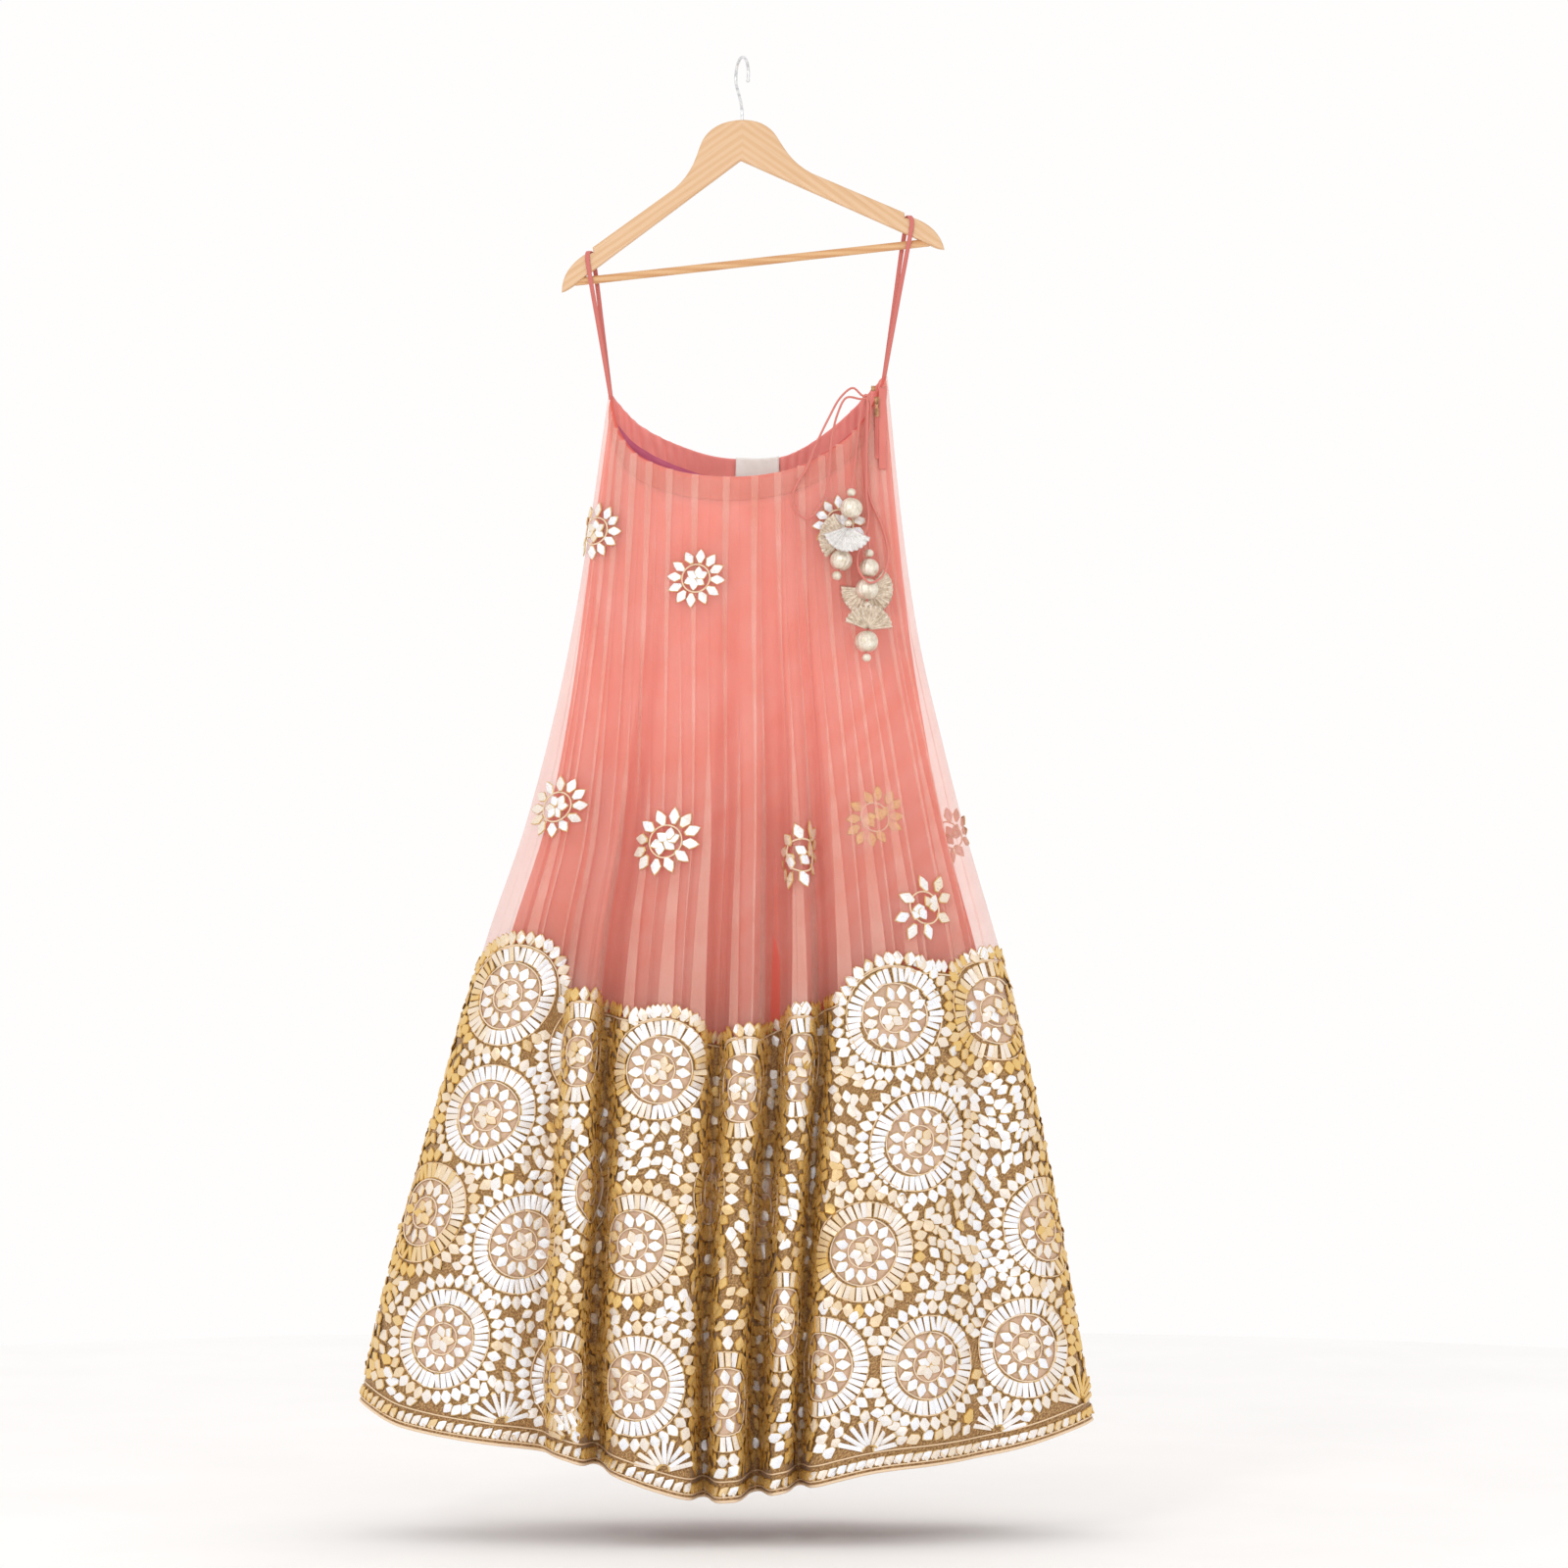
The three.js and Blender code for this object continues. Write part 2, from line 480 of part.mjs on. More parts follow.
// ---------- drawstring ----------
// stops along each cord: x, height and how far it stands off the skirt's face
const KNOT = { x: 139, z: -381, radius: 4.2, lift: 6.5 };
const CORDS = {
  bow_left: [
    [134, -379, 6], [124, -371, 6], [110, -382, 5.5], [97, -405, 4], [84, -432, 3],
    [72, -462, 3], [60, -482, 3], [56, -496, 3], [62, -511, 4], [74, -518, 6],
    [88, -504, 7], [97, -470, 6], [100, -430, 4], [107, -400, 6], [117, -382, 8], [134, -383.5, 7],
  ],
  bow_right: [
    [143, -386, 6], [143, -410, 5.4], [137, -452, 5.4], [142, -492, 4], [157, -528, 3],
    [163, -560, 18], [156, -583, 28], [142, -590, 33], [131, -578, 31], [129, -560, 24],
    [136, -540, 15], [141, -518, 9], [139, -490, 9], [139.5, -430, 9], [140.5, -386.5, 9.5],
  ],
  end_left: [[136, -386, 6], [132.5, -402, 5], [128, -440, 3], [125, -466, 6], [122, -484, 14]],
  end_right: [[138.5, -387, 3], [139, -420, 2], [135, -460, 2], [137, -500, 5],
    [140, -530, 8], [142, -552, 14]],
};
place('knot', new THREE.SphereGeometry(KNOT.radius, 10, 8), 'cord')
  .position.copy(onFace(KNOT.x, KNOT.z, KNOT.lift));
for (const [name, stops] of Object.entries(CORDS)) {
  const points = stops.map(([x, z, lift]) => onFace(x, z, lift));
  place(name, tube(points, CORD_RADIUS, stops.length * 2 + 4, 8), 'cord');
}

// ---------- tassels ----------
// each bead is [radius, its lean to the right of the one above]
// each fan is [bead, share of the way to the next bead, inner radius, reach,
//   the way it points from straight down, half its spread, its tilt, how far it stands forward]
const TASSELS = {
  left: {
    hangs: [122, -484, 14],
    beads: [[5, 0], [12.5, 0], [4.5, -0.2], [12.5, -0.1], [12.5, -0.25], [5.5, -0.3]],
    fans: [[2, 1, 2, 27, -0.1, 1.15, 0.4, 11.6], [3, 0, 13.6, 29, -1.85, 0.7, 0.2, 0]],
  },
  right: {
    hangs: [142, -552, 14],
    beads: [[5, 0], [11, 0], [13, -0.1], [5, 0], [11, 0.1], [13, -0.1], [5, 0]],
    fans: [[2, 0, 11.2, 27, 0.2, 1.35, 0, -8.5], [4, 1, 2, 25, 3, 1.25, 0.4, 10.5]],
  },
};
const BEAD_LIFT = 18; // from the face to the beads' centres, clear of the flower beneath
const FAN_WALL = 1.4;

// a pleated part disc round a hub
function fan(hub, inner, reach, points, spread, tilt, forward) {
  const columns = 12;
  const face = (out) => Array.from({ length: columns + 1 }, (_, i) => {
    const angle = points - spread * (1 - (2 * i) / columns);
    return [inner, reach].map((radius) => hub.clone().add(new THREE.Vector3(
      Math.sin(angle) * radius,
      -forward - tilt * (radius - inner) - out,
      -Math.cos(angle) * radius,
    )));
  });
  return shellSolid(face(FAN_WALL / 2), face(-FAN_WALL / 2));
}

for (const [side, tassel] of Object.entries(TASSELS)) {
  let above = onFace(...tassel.hangs);
  let reached = CORD_RADIUS;
  const centres = tassel.beads.map(([radius, lean], i) => {
    const spacing = reached + radius + GAP;
    const step = new THREE.Vector3(lean, 0, -1).setLength(spacing);
    const centre = above.clone().add(step);
    for (let pass = 0; pass < 4; pass += 1) {
      centre.y = onFace(centre.x, centre.z, BEAD_LIFT).y;
      centre.sub(above).setLength(spacing).add(above);
    }
    place(`bead_${side}_${i + 1}`, new THREE.SphereGeometry(radius, 10, 8), 'silver').position.copy(centre);
    reached = radius;
    above = centre;
    return centre.clone();
  });
  tassel.fans.forEach(([bead, onward, ...shape], i) => {
    const share = onward * tassel.beads[bead][0] / centres[bead].distanceTo(centres[bead + 1]);
    const hub = centres[bead].clone().lerp(centres[bead + 1], share);
    place(`fan_${side}_${i + 1}`, fan(hub, ...shape), 'silver');
  });
}

// ---------- flower appliques on the net ----------
// each is [x, height, radius] of the ring of petals, on the front or the back
const FLOWERS = {
  front: [[-160, -531, 30], [-51, -585, 31], [109, -523, 30], [-206, -840, 33],
    [-84, -878, 36], [67, -893, 36], [203, -952, 36], [150, -850, 32]],
  back: [[-110, -600, 31], [40, -560, 31], [-180, -850, 34], [-40, -900, 34], [110, -880, 34],
    [232, -872, 30]],
};
const PETAL = { lift: 3, thickness: 1 };
function flower(side, [x, z, radius]) {
  const left = curveAt(LEFT_SIDE, z);
  const width = curveAt(RIGHT_SIDE, z) - left;
  const reach = radius / width;
  const middle = (x - left) / width;
  const off = (hemShare) => (spreadAt(hemShare, z) - middle) / reach;
  const [start, end] = [-0.94, 0.94].map((k) => (
    [hemShareOf(THREE.MathUtils.clamp(middle + k * reach, 0.04, 0.96), z), 0]));
  const inside = foldsOf(side).filter(([hemShare]) => (
    hemShare > start[0] + 0.004 && hemShare < end[0] - 0.004));
  const half = (hemShare) => radius * Math.sqrt(Math.max(0.05, 1 - off(hemShare) ** 2));
  return panel(side, netPoint, [start, ...inside, end], (share) => z + half(share),
    (share) => z - half(share), 3, PETAL.thickness, -PETAL.lift - PETAL.thickness);
}
for (const [end, side] of [['front', 1], ['back', -1]]) {
  FLOWERS[end].forEach((spec, i) => place(`flower_${end}_${i + 1}`, flower(side, spec), 'petal'));
}

export default object;
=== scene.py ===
# %% [markdown]
# A lehenga skirt hangs by two ribbon loops from a wooden trouser hanger.
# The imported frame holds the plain, exact solids. This lesson dresses them: a coral slip, a
# see-through net with waist pleats, an embroidered border, a drawstring with tassels.
# Everything is in metres, +Z up, with the skirt's front facing -Y.

# %% The frame and its box
import math

import bpy
import numpy as np
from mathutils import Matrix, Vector


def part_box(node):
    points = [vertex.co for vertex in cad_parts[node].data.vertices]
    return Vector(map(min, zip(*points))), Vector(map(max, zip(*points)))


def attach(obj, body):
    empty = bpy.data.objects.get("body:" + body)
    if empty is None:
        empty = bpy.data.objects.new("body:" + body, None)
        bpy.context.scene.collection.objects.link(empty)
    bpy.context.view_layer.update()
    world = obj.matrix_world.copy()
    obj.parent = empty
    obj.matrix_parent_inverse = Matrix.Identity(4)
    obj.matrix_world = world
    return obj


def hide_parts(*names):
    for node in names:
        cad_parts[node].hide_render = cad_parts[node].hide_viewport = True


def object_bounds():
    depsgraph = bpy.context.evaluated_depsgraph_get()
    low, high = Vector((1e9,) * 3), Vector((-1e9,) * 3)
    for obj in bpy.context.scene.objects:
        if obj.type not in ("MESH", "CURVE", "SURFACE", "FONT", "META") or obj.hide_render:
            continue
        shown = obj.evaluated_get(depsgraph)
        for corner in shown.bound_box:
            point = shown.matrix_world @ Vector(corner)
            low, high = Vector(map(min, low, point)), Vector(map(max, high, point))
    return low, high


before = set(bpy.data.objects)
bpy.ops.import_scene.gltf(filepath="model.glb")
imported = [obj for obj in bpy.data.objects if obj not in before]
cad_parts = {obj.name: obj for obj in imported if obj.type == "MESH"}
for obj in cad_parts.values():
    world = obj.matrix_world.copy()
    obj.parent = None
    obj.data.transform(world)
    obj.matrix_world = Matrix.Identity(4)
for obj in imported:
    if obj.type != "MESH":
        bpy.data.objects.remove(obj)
cad_box = [list(corner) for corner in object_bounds()]
draw = np.random.RandomState(7)
MM = 0.001
print("the frame's box in metres:", cad_box)

# %% [markdown]
# The camera stands level and far away behind a long lens, as for a catalogue picture, so
# that the skirt's near and far sides keep nearly the same size. The lights come next,
# because soft light from all round is what lets a net and metal ribbon look like themselves.

# %% Camera, floor and lights
VIEW_DISTANCE = 7.0
VIEW_WIDTH = 1.76
SENSOR = 36.0
VIEW_AT = Vector((0.047, 0.0, -0.814))


def stand_camera():
    camera = bpy.data.cameras.new("camera")
    camera.sensor_width = SENSOR
    camera.lens = SENSOR * VIEW_DISTANCE / VIEW_WIDTH
    stand = bpy.data.objects.new("camera", camera)
    stand.location = VIEW_AT + Vector((0, -VIEW_DISTANCE, 0))
    stand.rotation_euler = (math.radians(90), 0, 0)
    bpy.context.scene.collection.objects.link(stand)
    bpy.context.scene.camera = stand


def area_light(name, place, aim, size, power):
    light = bpy.data.lights.new(name, "AREA")
    light.shape = "DISK"
    light.size = size
    light.energy = power
    lamp = bpy.data.objects.new(name, light)
    lamp.location = place
    lamp.rotation_euler = (Vector(aim) - Vector(place)).to_track_quat("-Z", "Y").to_euler()
    bpy.context.scene.collection.objects.link(lamp)


def light_studio():
    world = bpy.data.worlds.new("studio")
    bpy.context.scene.world = world
    world.use_nodes = True
    background = world.node_tree.nodes["Background"]
    background.inputs["Color"].default_value = (1.0, 0.99, 0.985, 1)
    background.inputs["Strength"].default_value = 1.0
    area_light("key", (-1.4, -3.6, 0.9), (0, 0, -0.9), 0.8, 20)
    area_light("front", (0.5, -5.0, -0.7), (0, 0, -0.9), 1.6, 12)
    bpy.context.scene.view_settings.view_transform = "Standard"


stand_camera()
light_studio()
FLOOR_Z = cad_box[0][2] - 0.05
bpy.ops.mesh.primitive_circle_add(vertices=96, radius=2.6, fill_type="NGON", location=(0, 0, FLOOR_Z))
floor = bpy.context.object
floor.name = "floor"
print("camera", VIEW_DISTANCE, "m away; floor at", round(FLOOR_Z, 3))

# %% [markdown]
# The skirt's cut is held in a few tables: its two side outlines, how deep it is from front to
# back, its top, border and hem edges, and its folds. They are the same ones that the solids
# were made from, in millimetres. A smooth curve through each table gives any point between.

# %% The cut of the skirt
LEFT_SIDE = [(-377, -150), (-517, -170), (-649, -192), (-759, -216), (-869, -246),
             (-982, -285), (-1170, -341), (-1377, -400), (-1530, -434)]
RIGHT_SIDE = [(-355, 163), (-517, 179), (-649, 198), (-759, 223), (-869, 251),
              (-1008, 291), (-1159, 327), (-1344, 362), (-1530, 394)]
HALF_DEPTH = [(-355, 26), (-520, 42), (-760, 68), (-1000, 96), (-1600, 140)]
SLIP_SIDE = [(-355, 2.2), (-600, 6), (-880, 22), (-1600, 30)]
SLIP_DEPTH = [(-355, 2.2), (-520, 9), (-760, 32), (-1000, 57), (-1600, 96)]
SLIP_LIFT = 60
CASING_HEIGHT = 27
HEM_HEIGHT = 24
WAIST = {
    1: [(0, -377), (0.05, -419), (0.15, -450), (0.37, -469), (0.63, -463), (0.81, -434),
        (0.92, -400), (1, -355)],
    -1: [(0, -377), (0.12, -411), (0.31, -438), (0.45, -447), (0.63, -444), (0.8, -412),
         (1, -355)],
}
BORDER_TOP = {
    1: [(0, -1008), (0.08, -982), (0.19, -1040), (0.37, -1066), (0.47, -1088), (0.61, -1062),
        (0.8, -1008), (1, -1020)],
    -1: [(0, -1008), (0.2, -1030), (0.5, -1050), (0.8, -1030), (1, -1020)],
}
HEM = {
    1: [(0, -1505), (0.07, -1529), (0.27, -1556), (0.47, -1604), (0.6, -1592), (0.7, -1574),
        (0.85, -1560), (1, -1527)],
    -1: [(0, -1505), (0.25, -1545), (0.5, -1562), (0.76, -1572), (1, -1527)],
}
FOLDS = {
    1: [(0, 0), (0.02, 0), (0.05, 0), (0.1, 0), (0.16, 0), (0.2, 6), (0.235, 24), (0.262, 34),
        (0.275, 10), (0.29, 0), (0.312, 4), (0.325, 58), (0.337, 60), (0.352, 12), (0.385, 0),
        (0.42, -3), (0.456, 4), (0.469, 50), (0.479, 50), (0.49, 6), (0.507, 0), (0.522, 8),
        (0.534, 66), (0.549, 70), (0.562, 10), (0.574, 2), (0.586, 10), (0.596, 52),
        (0.605, 52), (0.617, 8), (0.65, 0), (0.71, 0), (0.77, 2), (0.815, 14), (0.845, 22),
        (0.88, 10), (0.92, 0), (0.96, 0), (0.98, 0), (1, 0)],
    -1: [(0, 0), (0.02, 0), (0.05, 0), (0.1, 0), (0.17, 2), (0.22, 30), (0.25, 34), (0.28, 6),
         (0.33, 0), (0.37, 8), (0.39, 52), (0.41, 54), (0.435, 8), (0.48, 0), (0.53, 4),
         (0.55, 50), (0.57, 52), (0.595, 6), (0.64, 0), (0.69, 6), (0.715, 46), (0.735, 46),
         (0.76, 6), (0.82, 0), (0.88, 12), (0.93, 2), (0.96, 0), (0.98, 0), (1, 0)],
}
FOLD_SPREAD = [(-440, 1.8), (-700, 1.8), (-1040, 1.6), (-1250, 1.28), (-1560, 1)]
FOLD_GROWTH = [(-470, 0), (-700, 0.22), (-1000, 0.72), (-1250, 0.95), (-1600, 1.05)]
WAIST_LEVEL, BORDER_LEVEL = -440, -1040
SIDES = (("front", 1), ("back", -1))


def smooth(table, x):
    """A smooth curve through a table's points, level past its ends."""
    px, py = np.array(sorted(table), float).T
    x = np.clip(np.asarray(x, float), px[0], px[-1])
    i = np.clip(np.searchsorted(px, x, side="right") - 1, 0, len(px) - 2)
    before = np.maximum(np.arange(len(px)) - 1, 0)
    after = np.minimum(np.arange(len(px)) + 1, len(px) - 1)
    slope = (py[after] - py[before]) / (px[after] - px[before])
    span = px[i + 1] - px[i]
    t = (x - px[i]) / span
    return ((2 * t**3 - 3 * t**2 + 1) * py[i] + (t**3 - 2 * t**2 + t) * span * slope[i]
            + (3 * t**2 - 2 * t**3) * py[i + 1] + (t**3 - t**2) * span * slope[i + 1])


def bent_share(share, power):
    out = 2 * np.asarray(share, float) - 1
    return 0.5 + 0.5 * np.sign(out) * (1 - (1 - np.abs(out)) ** power)


def spread(hem_share, z):
    """Where a column stands at height z, as a share of the width: folds hang upright."""
    return bent_share(hem_share, smooth(FOLD_SPREAD, z))


def hem_share_of(share, z):
    """The column that stands at this share of the width at height z."""
    return bent_share(share, 1 / smooth(FOLD_SPREAD, z))


def edge(table, hem_share, level):
    return smooth(table, spread(hem_share, level))


def face_points(side, hem_share, z, inset, depth, drawn_in):
    """Points of one face, in millimetres. side is 1 in front and -1 behind."""
    share = spread(hem_share, z)
    left = smooth(LEFT_SIDE, z) + inset
    x = left + share * (smooth(RIGHT_SIDE, z) - inset - left)
    round_off = np.sqrt(np.clip(1 - (2 * share - 1) ** 2, 0, 1))
    return np.stack([x, -side * (depth * round_off - drawn_in), z + 0 * x], -1)


def net_face(side, hem_share, z):
    """The net's outer face, drawn in at the folds."""
    drawn_in = smooth(FOLDS[side], hem_share) * smooth(FOLD_GROWTH, z)
    return face_points(side, hem_share, z, 0, smooth(HALF_DEPTH, z), drawn_in)


def slip_face(side, hem_share, z):
    """The slip's outer face, which hangs inside the net."""
    depth = smooth(HALF_DEPTH, z) - smooth(SLIP_DEPTH, z)
    return face_points(side, hem_share, z, smooth(SLIP_SIDE, z), depth, 0)


def width_share(x, z):
    """How far across the skirt x lies at height z, from 0 to 1."""
    left = float(smooth(LEFT_SIDE, z))
    return (x - left) / (float(smooth(RIGHT_SIDE, z)) - left)


def on_face(x, z, lift):
    """The point of the front at x and z, moved out by lift."""
    share = min(0.999, max(0.001, width_share(x, z)))
    point = net_face(1, hem_share_of(share, z), z)
    return Vector((x, float(point[1]) - lift, z))


print("hem", round(float(smooth(RIGHT_SIDE, -1530) - smooth(LEFT_SIDE, -1530))), "mm wide")

# %% [markdown]
# Cloth is made as a grid of points, because a garment's panels are sheets that follow a
# formula. Each grid becomes a mesh with a UV map in metres, so a weave keeps its real size.

# %% Making a mesh from a grid
def mesh_object(name, points, faces, paints):
    mesh = bpy.data.meshes.new(name)
    mesh.from_pydata(np.asarray(points).tolist(), [], faces)
    piece = bpy.data.objects.new(name, mesh)
    bpy.context.scene.collection.objects.link(piece)
    for paint in paints:
        mesh.materials.append(paint)
    return piece


def clear_selection():
    bpy.ops.object.select_all(action="DESELECT")


def choose_only(piece):
    clear_selection()
    piece.select_set(True)
    bpy.context.view_layer.objects.active = piece


def apply_modifiers(piece):
    choose_only(piece)
    for modifier in list(piece.modifiers):
        bpy.ops.object.modifier_apply(modifier=modifier.name)


def edges_by_angle(piece, degrees=50):
    choose_only(piece)
    bpy.ops.object.shade_smooth_by_angle(angle=math.radians(degrees))


def add_wall(piece, thickness, offset):
    """Gives a sheet a thickness. An offset of -1 is inward and 0 is both ways."""
    wall = piece.modifiers.new("wall", "SOLIDIFY")
    wall.thickness = thickness
    wall.offset = offset
    apply_modifiers(piece)


def mark_points(piece, name, values):
    """Holds a number at each point, which a finish can read."""
    mark = piece.data.attributes.new(name, "FLOAT", "POINT")
    mark.data.foreach_set("value", values.astype(np.float32))


def finish_piece(piece, node, body="skirt"):
    """Hides the solid that a piece stands for, if any, and hangs the piece on the body that carries it."""
    if node:
        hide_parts(node)
    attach(piece, body)


def arc_lengths(grid):
    steps = np.linalg.norm(np.diff(grid, axis=0), axis=-1)
    return np.concatenate([np.zeros((1, grid.shape[1])), np.cumsum(steps, 0)], 0)


def cloth_sheet(name, grid_mm, paint, thickness=0.0):
    """grid[i, j] runs right and down as seen from outside. Thickness goes inward."""
    columns, rows = grid_mm.shape[:2]
    i, j = np.meshgrid(np.arange(columns - 1), np.arange(rows - 1), indexing="ij")
    a = (i * rows + j).ravel()
    faces = np.stack([a, a + 1, a + rows + 1, a + rows], -1)
    piece = mesh_object(name, grid_mm.reshape(-1, 3) * MM, faces.tolist(), [paint])
    across = arc_lengths(grid_mm) * MM
    down = (grid_mm[:, :1, 2] - grid_mm[:, :, 2]) * MM
    uv = np.stack([across, -down], -1).reshape(-1, 2)
    layer = piece.data.uv_layers.new(name="cloth")
    corners = np.empty(len(piece.data.loops), int)
    piece.data.loops.foreach_get("vertex_index", corners)
    layer.data.foreach_set("uv", uv[corners].astype(np.float32).ravel())
    piece.data.shade_smooth()
    if thickness:
        add_wall(piece, thickness, -1)
    return piece


def declare_sheet(grid_mm):
    """A sheet's flat width and length are measured along its grid."""
    width = float(arc_lengths(grid_mm)[-1].max()) * MM
    length = float(np.linalg.norm(np.diff(grid_mm, axis=1), axis=-1).sum(1).max()) * MM
    return width, length


def left_to_right(columns, side):
    """Columns as seen from outside: the back's run the other way."""
    return columns if side > 0 else columns[::-1]


def panel_grid(face, side, shares, top, bottom, rows):
    """top and bottom give an edge's height for each share of the hem."""
    shares = left_to_right(shares, side)
    down = np.linspace(0, 1, rows + 1)
    z = top(shares)[:, None] * (1 - down) + bottom(shares)[:, None] * down
    return face(side, shares[:, None] + 0 * z, z)


print("grids are ready")

# %% [markdown]
# Finishes. Each one starts from a Principled shader, and small node groups of noise, weave
# and bump give it the surface that the real stuff has. The weaves read the UV map in metres.


# %% Tools for finishes
def colour(red, green, blue):
    """A colour as a screen shows it, 0 to 255, made linear for the shader."""
    parts = [c / 255 for c in (red, green, blue)]
    return tuple(c / 12.92 if c <= 0.04045 else ((c + 0.055) / 1.055) ** 2.4 for c in parts) + (1,)


class Finish:
    """A material with one Principled shader, and short ways to add nodes to it."""

    def __init__(self, name, roughness=0.6, metallic=0.0, sheen=0.0, alpha=1.0, coat=0.0):
        self.material = bpy.data.materials.new(name)
        self.material.use_nodes = True
        self.nodes = self.material.node_tree.nodes
        self.links = self.material.node_tree.links
        self.shader = self.nodes["Principled BSDF"]
        looks = {"Roughness": roughness, "Metallic": metallic, "Sheen Weight": sheen,
                 "Alpha": alpha, "Coat Weight": coat}
        for socket, value in looks.items():
            self.shader.inputs[socket].default_value = value

    def plug(self, socket, value):
        """Feeds a socket from another node's output, or with a plain value."""
        if isinstance(value, bpy.types.NodeSocket):
            self.links.new(value, socket)
        else:
            socket.default_value = value

    def node(self, kind, settings=None, **inputs):
        made = self.nodes.new("ShaderNode" + kind)
        for key, value in (settings or {}).items():
            setattr(made, key, value)
        for socket, value in inputs.items():
            self.plug(made.inputs[socket.replace("_", " ")], value)
        return made

    def place(self, stretch=(1, 1, 1), uv=False):
        source = self.node("TexCoord").outputs["UV" if uv else "Object"]
        return self.stretched(source, stretch)

    def stretched(self, where, stretch):
        return self.node("Mapping", Vector=where, Scale=stretch).outputs["Vector"]

    def noise(self, where, scale, detail=4.0, roughness=0.6):
        return self.node("TexNoise", Vector=where, Scale=scale, Detail=detail,
                         Roughness=roughness).outputs["Fac"]

    def stripes(self, where, scale, way="X", **more):
        settings = {"wave_type": "BANDS", "bands_direction": way}
        return self.node("TexWave", settings, Vector=where, Scale=scale, **more).outputs["Fac"]

    def ramp(self, factor, *stops):
        """Colours along a factor: each stop is (place, colour)."""
        made = self.node("ValToRGB", Fac=factor)
        elements = made.color_ramp.elements
        while len(elements) < len(stops):
            elements.new(0.5)
        for element, (position, paint) in zip(elements, stops):
            element.position = position
            element.color = paint
        return made.outputs["Color"]

    def range(self, factor, low, high, start=0.0, end=1.0):
        return self.node("MapRange", Value=factor, From_Min=low, From_Max=high,
                         To_Min=start, To_Max=end).outputs["Result"]

    def math(self, operation, a, b=0.5):
        made = self.node("Math", {"operation": operation})
        for socket, value in zip(made.inputs, (a, b)):
            self.plug(socket, value)
        return made.outputs["Value"]

    def mix(self, factor, a, b):
        """Two colours mixed: a colour mix has its inputs at 6 and 7, and its output at 2."""
        made = self.node("Mix", {"data_type": "RGBA"})
        for index, value in ((0, factor), (6, a), (7, b)):
            self.plug(made.inputs[index], value)
        return made.outputs[2]

    def mask(self, name):
        """A number held at each of the mesh's points."""
        return self.node("Attribute", {"attribute_name": name}).outputs["Fac"]

    def paint(self, colour_output):
        self.plug(self.shader.inputs["Base Color"], colour_output)

    def rough(self, where, scale, detail, low, high):
        """Roughness that wanders between two values with a noise."""
        wander = self.range(self.noise(where, scale, detail), 0.3, 0.7, low, high)
        self.plug(self.shader.inputs["Roughness"], wander)

    def bump(self, height, distance, strength=0.6, over=None):
        made = self.node("Bump", Height=height, Distance=distance, Strength=strength)
        if over is not None:
            self.links.new(over, made.inputs["Normal"])
        self.links.new(made.outputs["Normal"], self.shader.inputs["Normal"])
        return made.outputs["Normal"]


# %% Coral crepe, net, satin, cord and the floor
def crepe_finish(name, light, deep, weave=0.0012, low=None):
    """Matt crepe: a plain weave, small crinkles and soft clouds of colour. A low colour, when given, is
    painted shade that makes it deeper low down.
    """
    f = Finish(name, roughness=0.82, sheen=0.25)
    flat = f.place(uv=True)
    clouds = f.noise(flat, 9, 5)
    tone = f.ramp(clouds, (0.32, deep), (0.68, light))
    # Painted shade: from 0.72 m to 1.08 m below zero height the colour blends into the low colour, darker
    # towards the hem.
    if low:
        height = f.node("SeparateXYZ", Vector=f.place()).outputs["Z"]
        tone = f.mix(f.range(height, -0.72, -1.08, 0, 1), tone, low)
    f.paint(tone)
    warp = f.stripes(flat, 1 / weave, "X")
    weft = f.stripes(flat, 1 / weave, "Y")
    crinkle = f.noise(f.place((1, 0.35, 1), uv=True), 420, 3)
    woven = f.bump(f.math("MULTIPLY", warp, weft), 0.0002, 0.35)
    f.bump(crinkle, 0.0006, 0.45, woven)
    return f.material


def net_finish(name, alpha):
    """Fine tulle. Its holes are too small to draw, so the cloth as a whole lets light by."""
    f = Finish(name, roughness=0.75, sheen=0.3, alpha=alpha)
    flat = f.place(uv=True)
    clouds = f.noise(flat, 14, 4)
    f.paint(f.ramp(clouds, (0.35, colour(247, 178, 158)), (0.65, colour(254, 204, 188))))
    mesh_threads = f.math("MULTIPLY", f.stripes(flat, 900, "X"), f.stripes(flat, 900, "Y"))
    f.bump(mesh_threads, 0.0002, 0.3)
    return f.material


def satin_finish(name, light, deep):
    f = Finish(name, roughness=0.42, sheen=0.2)
    flat = f.place(uv=True)
    f.paint(f.ramp(f.noise(flat, 30, 4), (0.35, deep), (0.65, light)))
    f.bump(f.stripes(flat, 1600, "Y"), 0.0001, 0.3)
    f.rough(flat, 60, 3, 0.34, 0.5)
    return f.material


def cord_finish(name, light, deep, twist):
    """Twisted rayon cord: stripes that wind round it, from its own UV map."""
    f = Finish(name, roughness=0.6, sheen=0.3)
    flat = f.place(uv=True)
    strands = f.stripes(flat, twist, "DIAGONAL", Distortion=0.4)
    f.paint(f.ramp(strands, (0.1, deep), (0.7, light)))
    f.bump(strands, 0.0003, 0.6)
    return f.material


# The slip's low colour is painted shade on its lower part.
CREPE = crepe_finish("coral crepe", colour(249, 132, 122), colour(238, 114, 104),
                     low=colour(222, 98, 80))
FINE_WEAVE = 0.0009
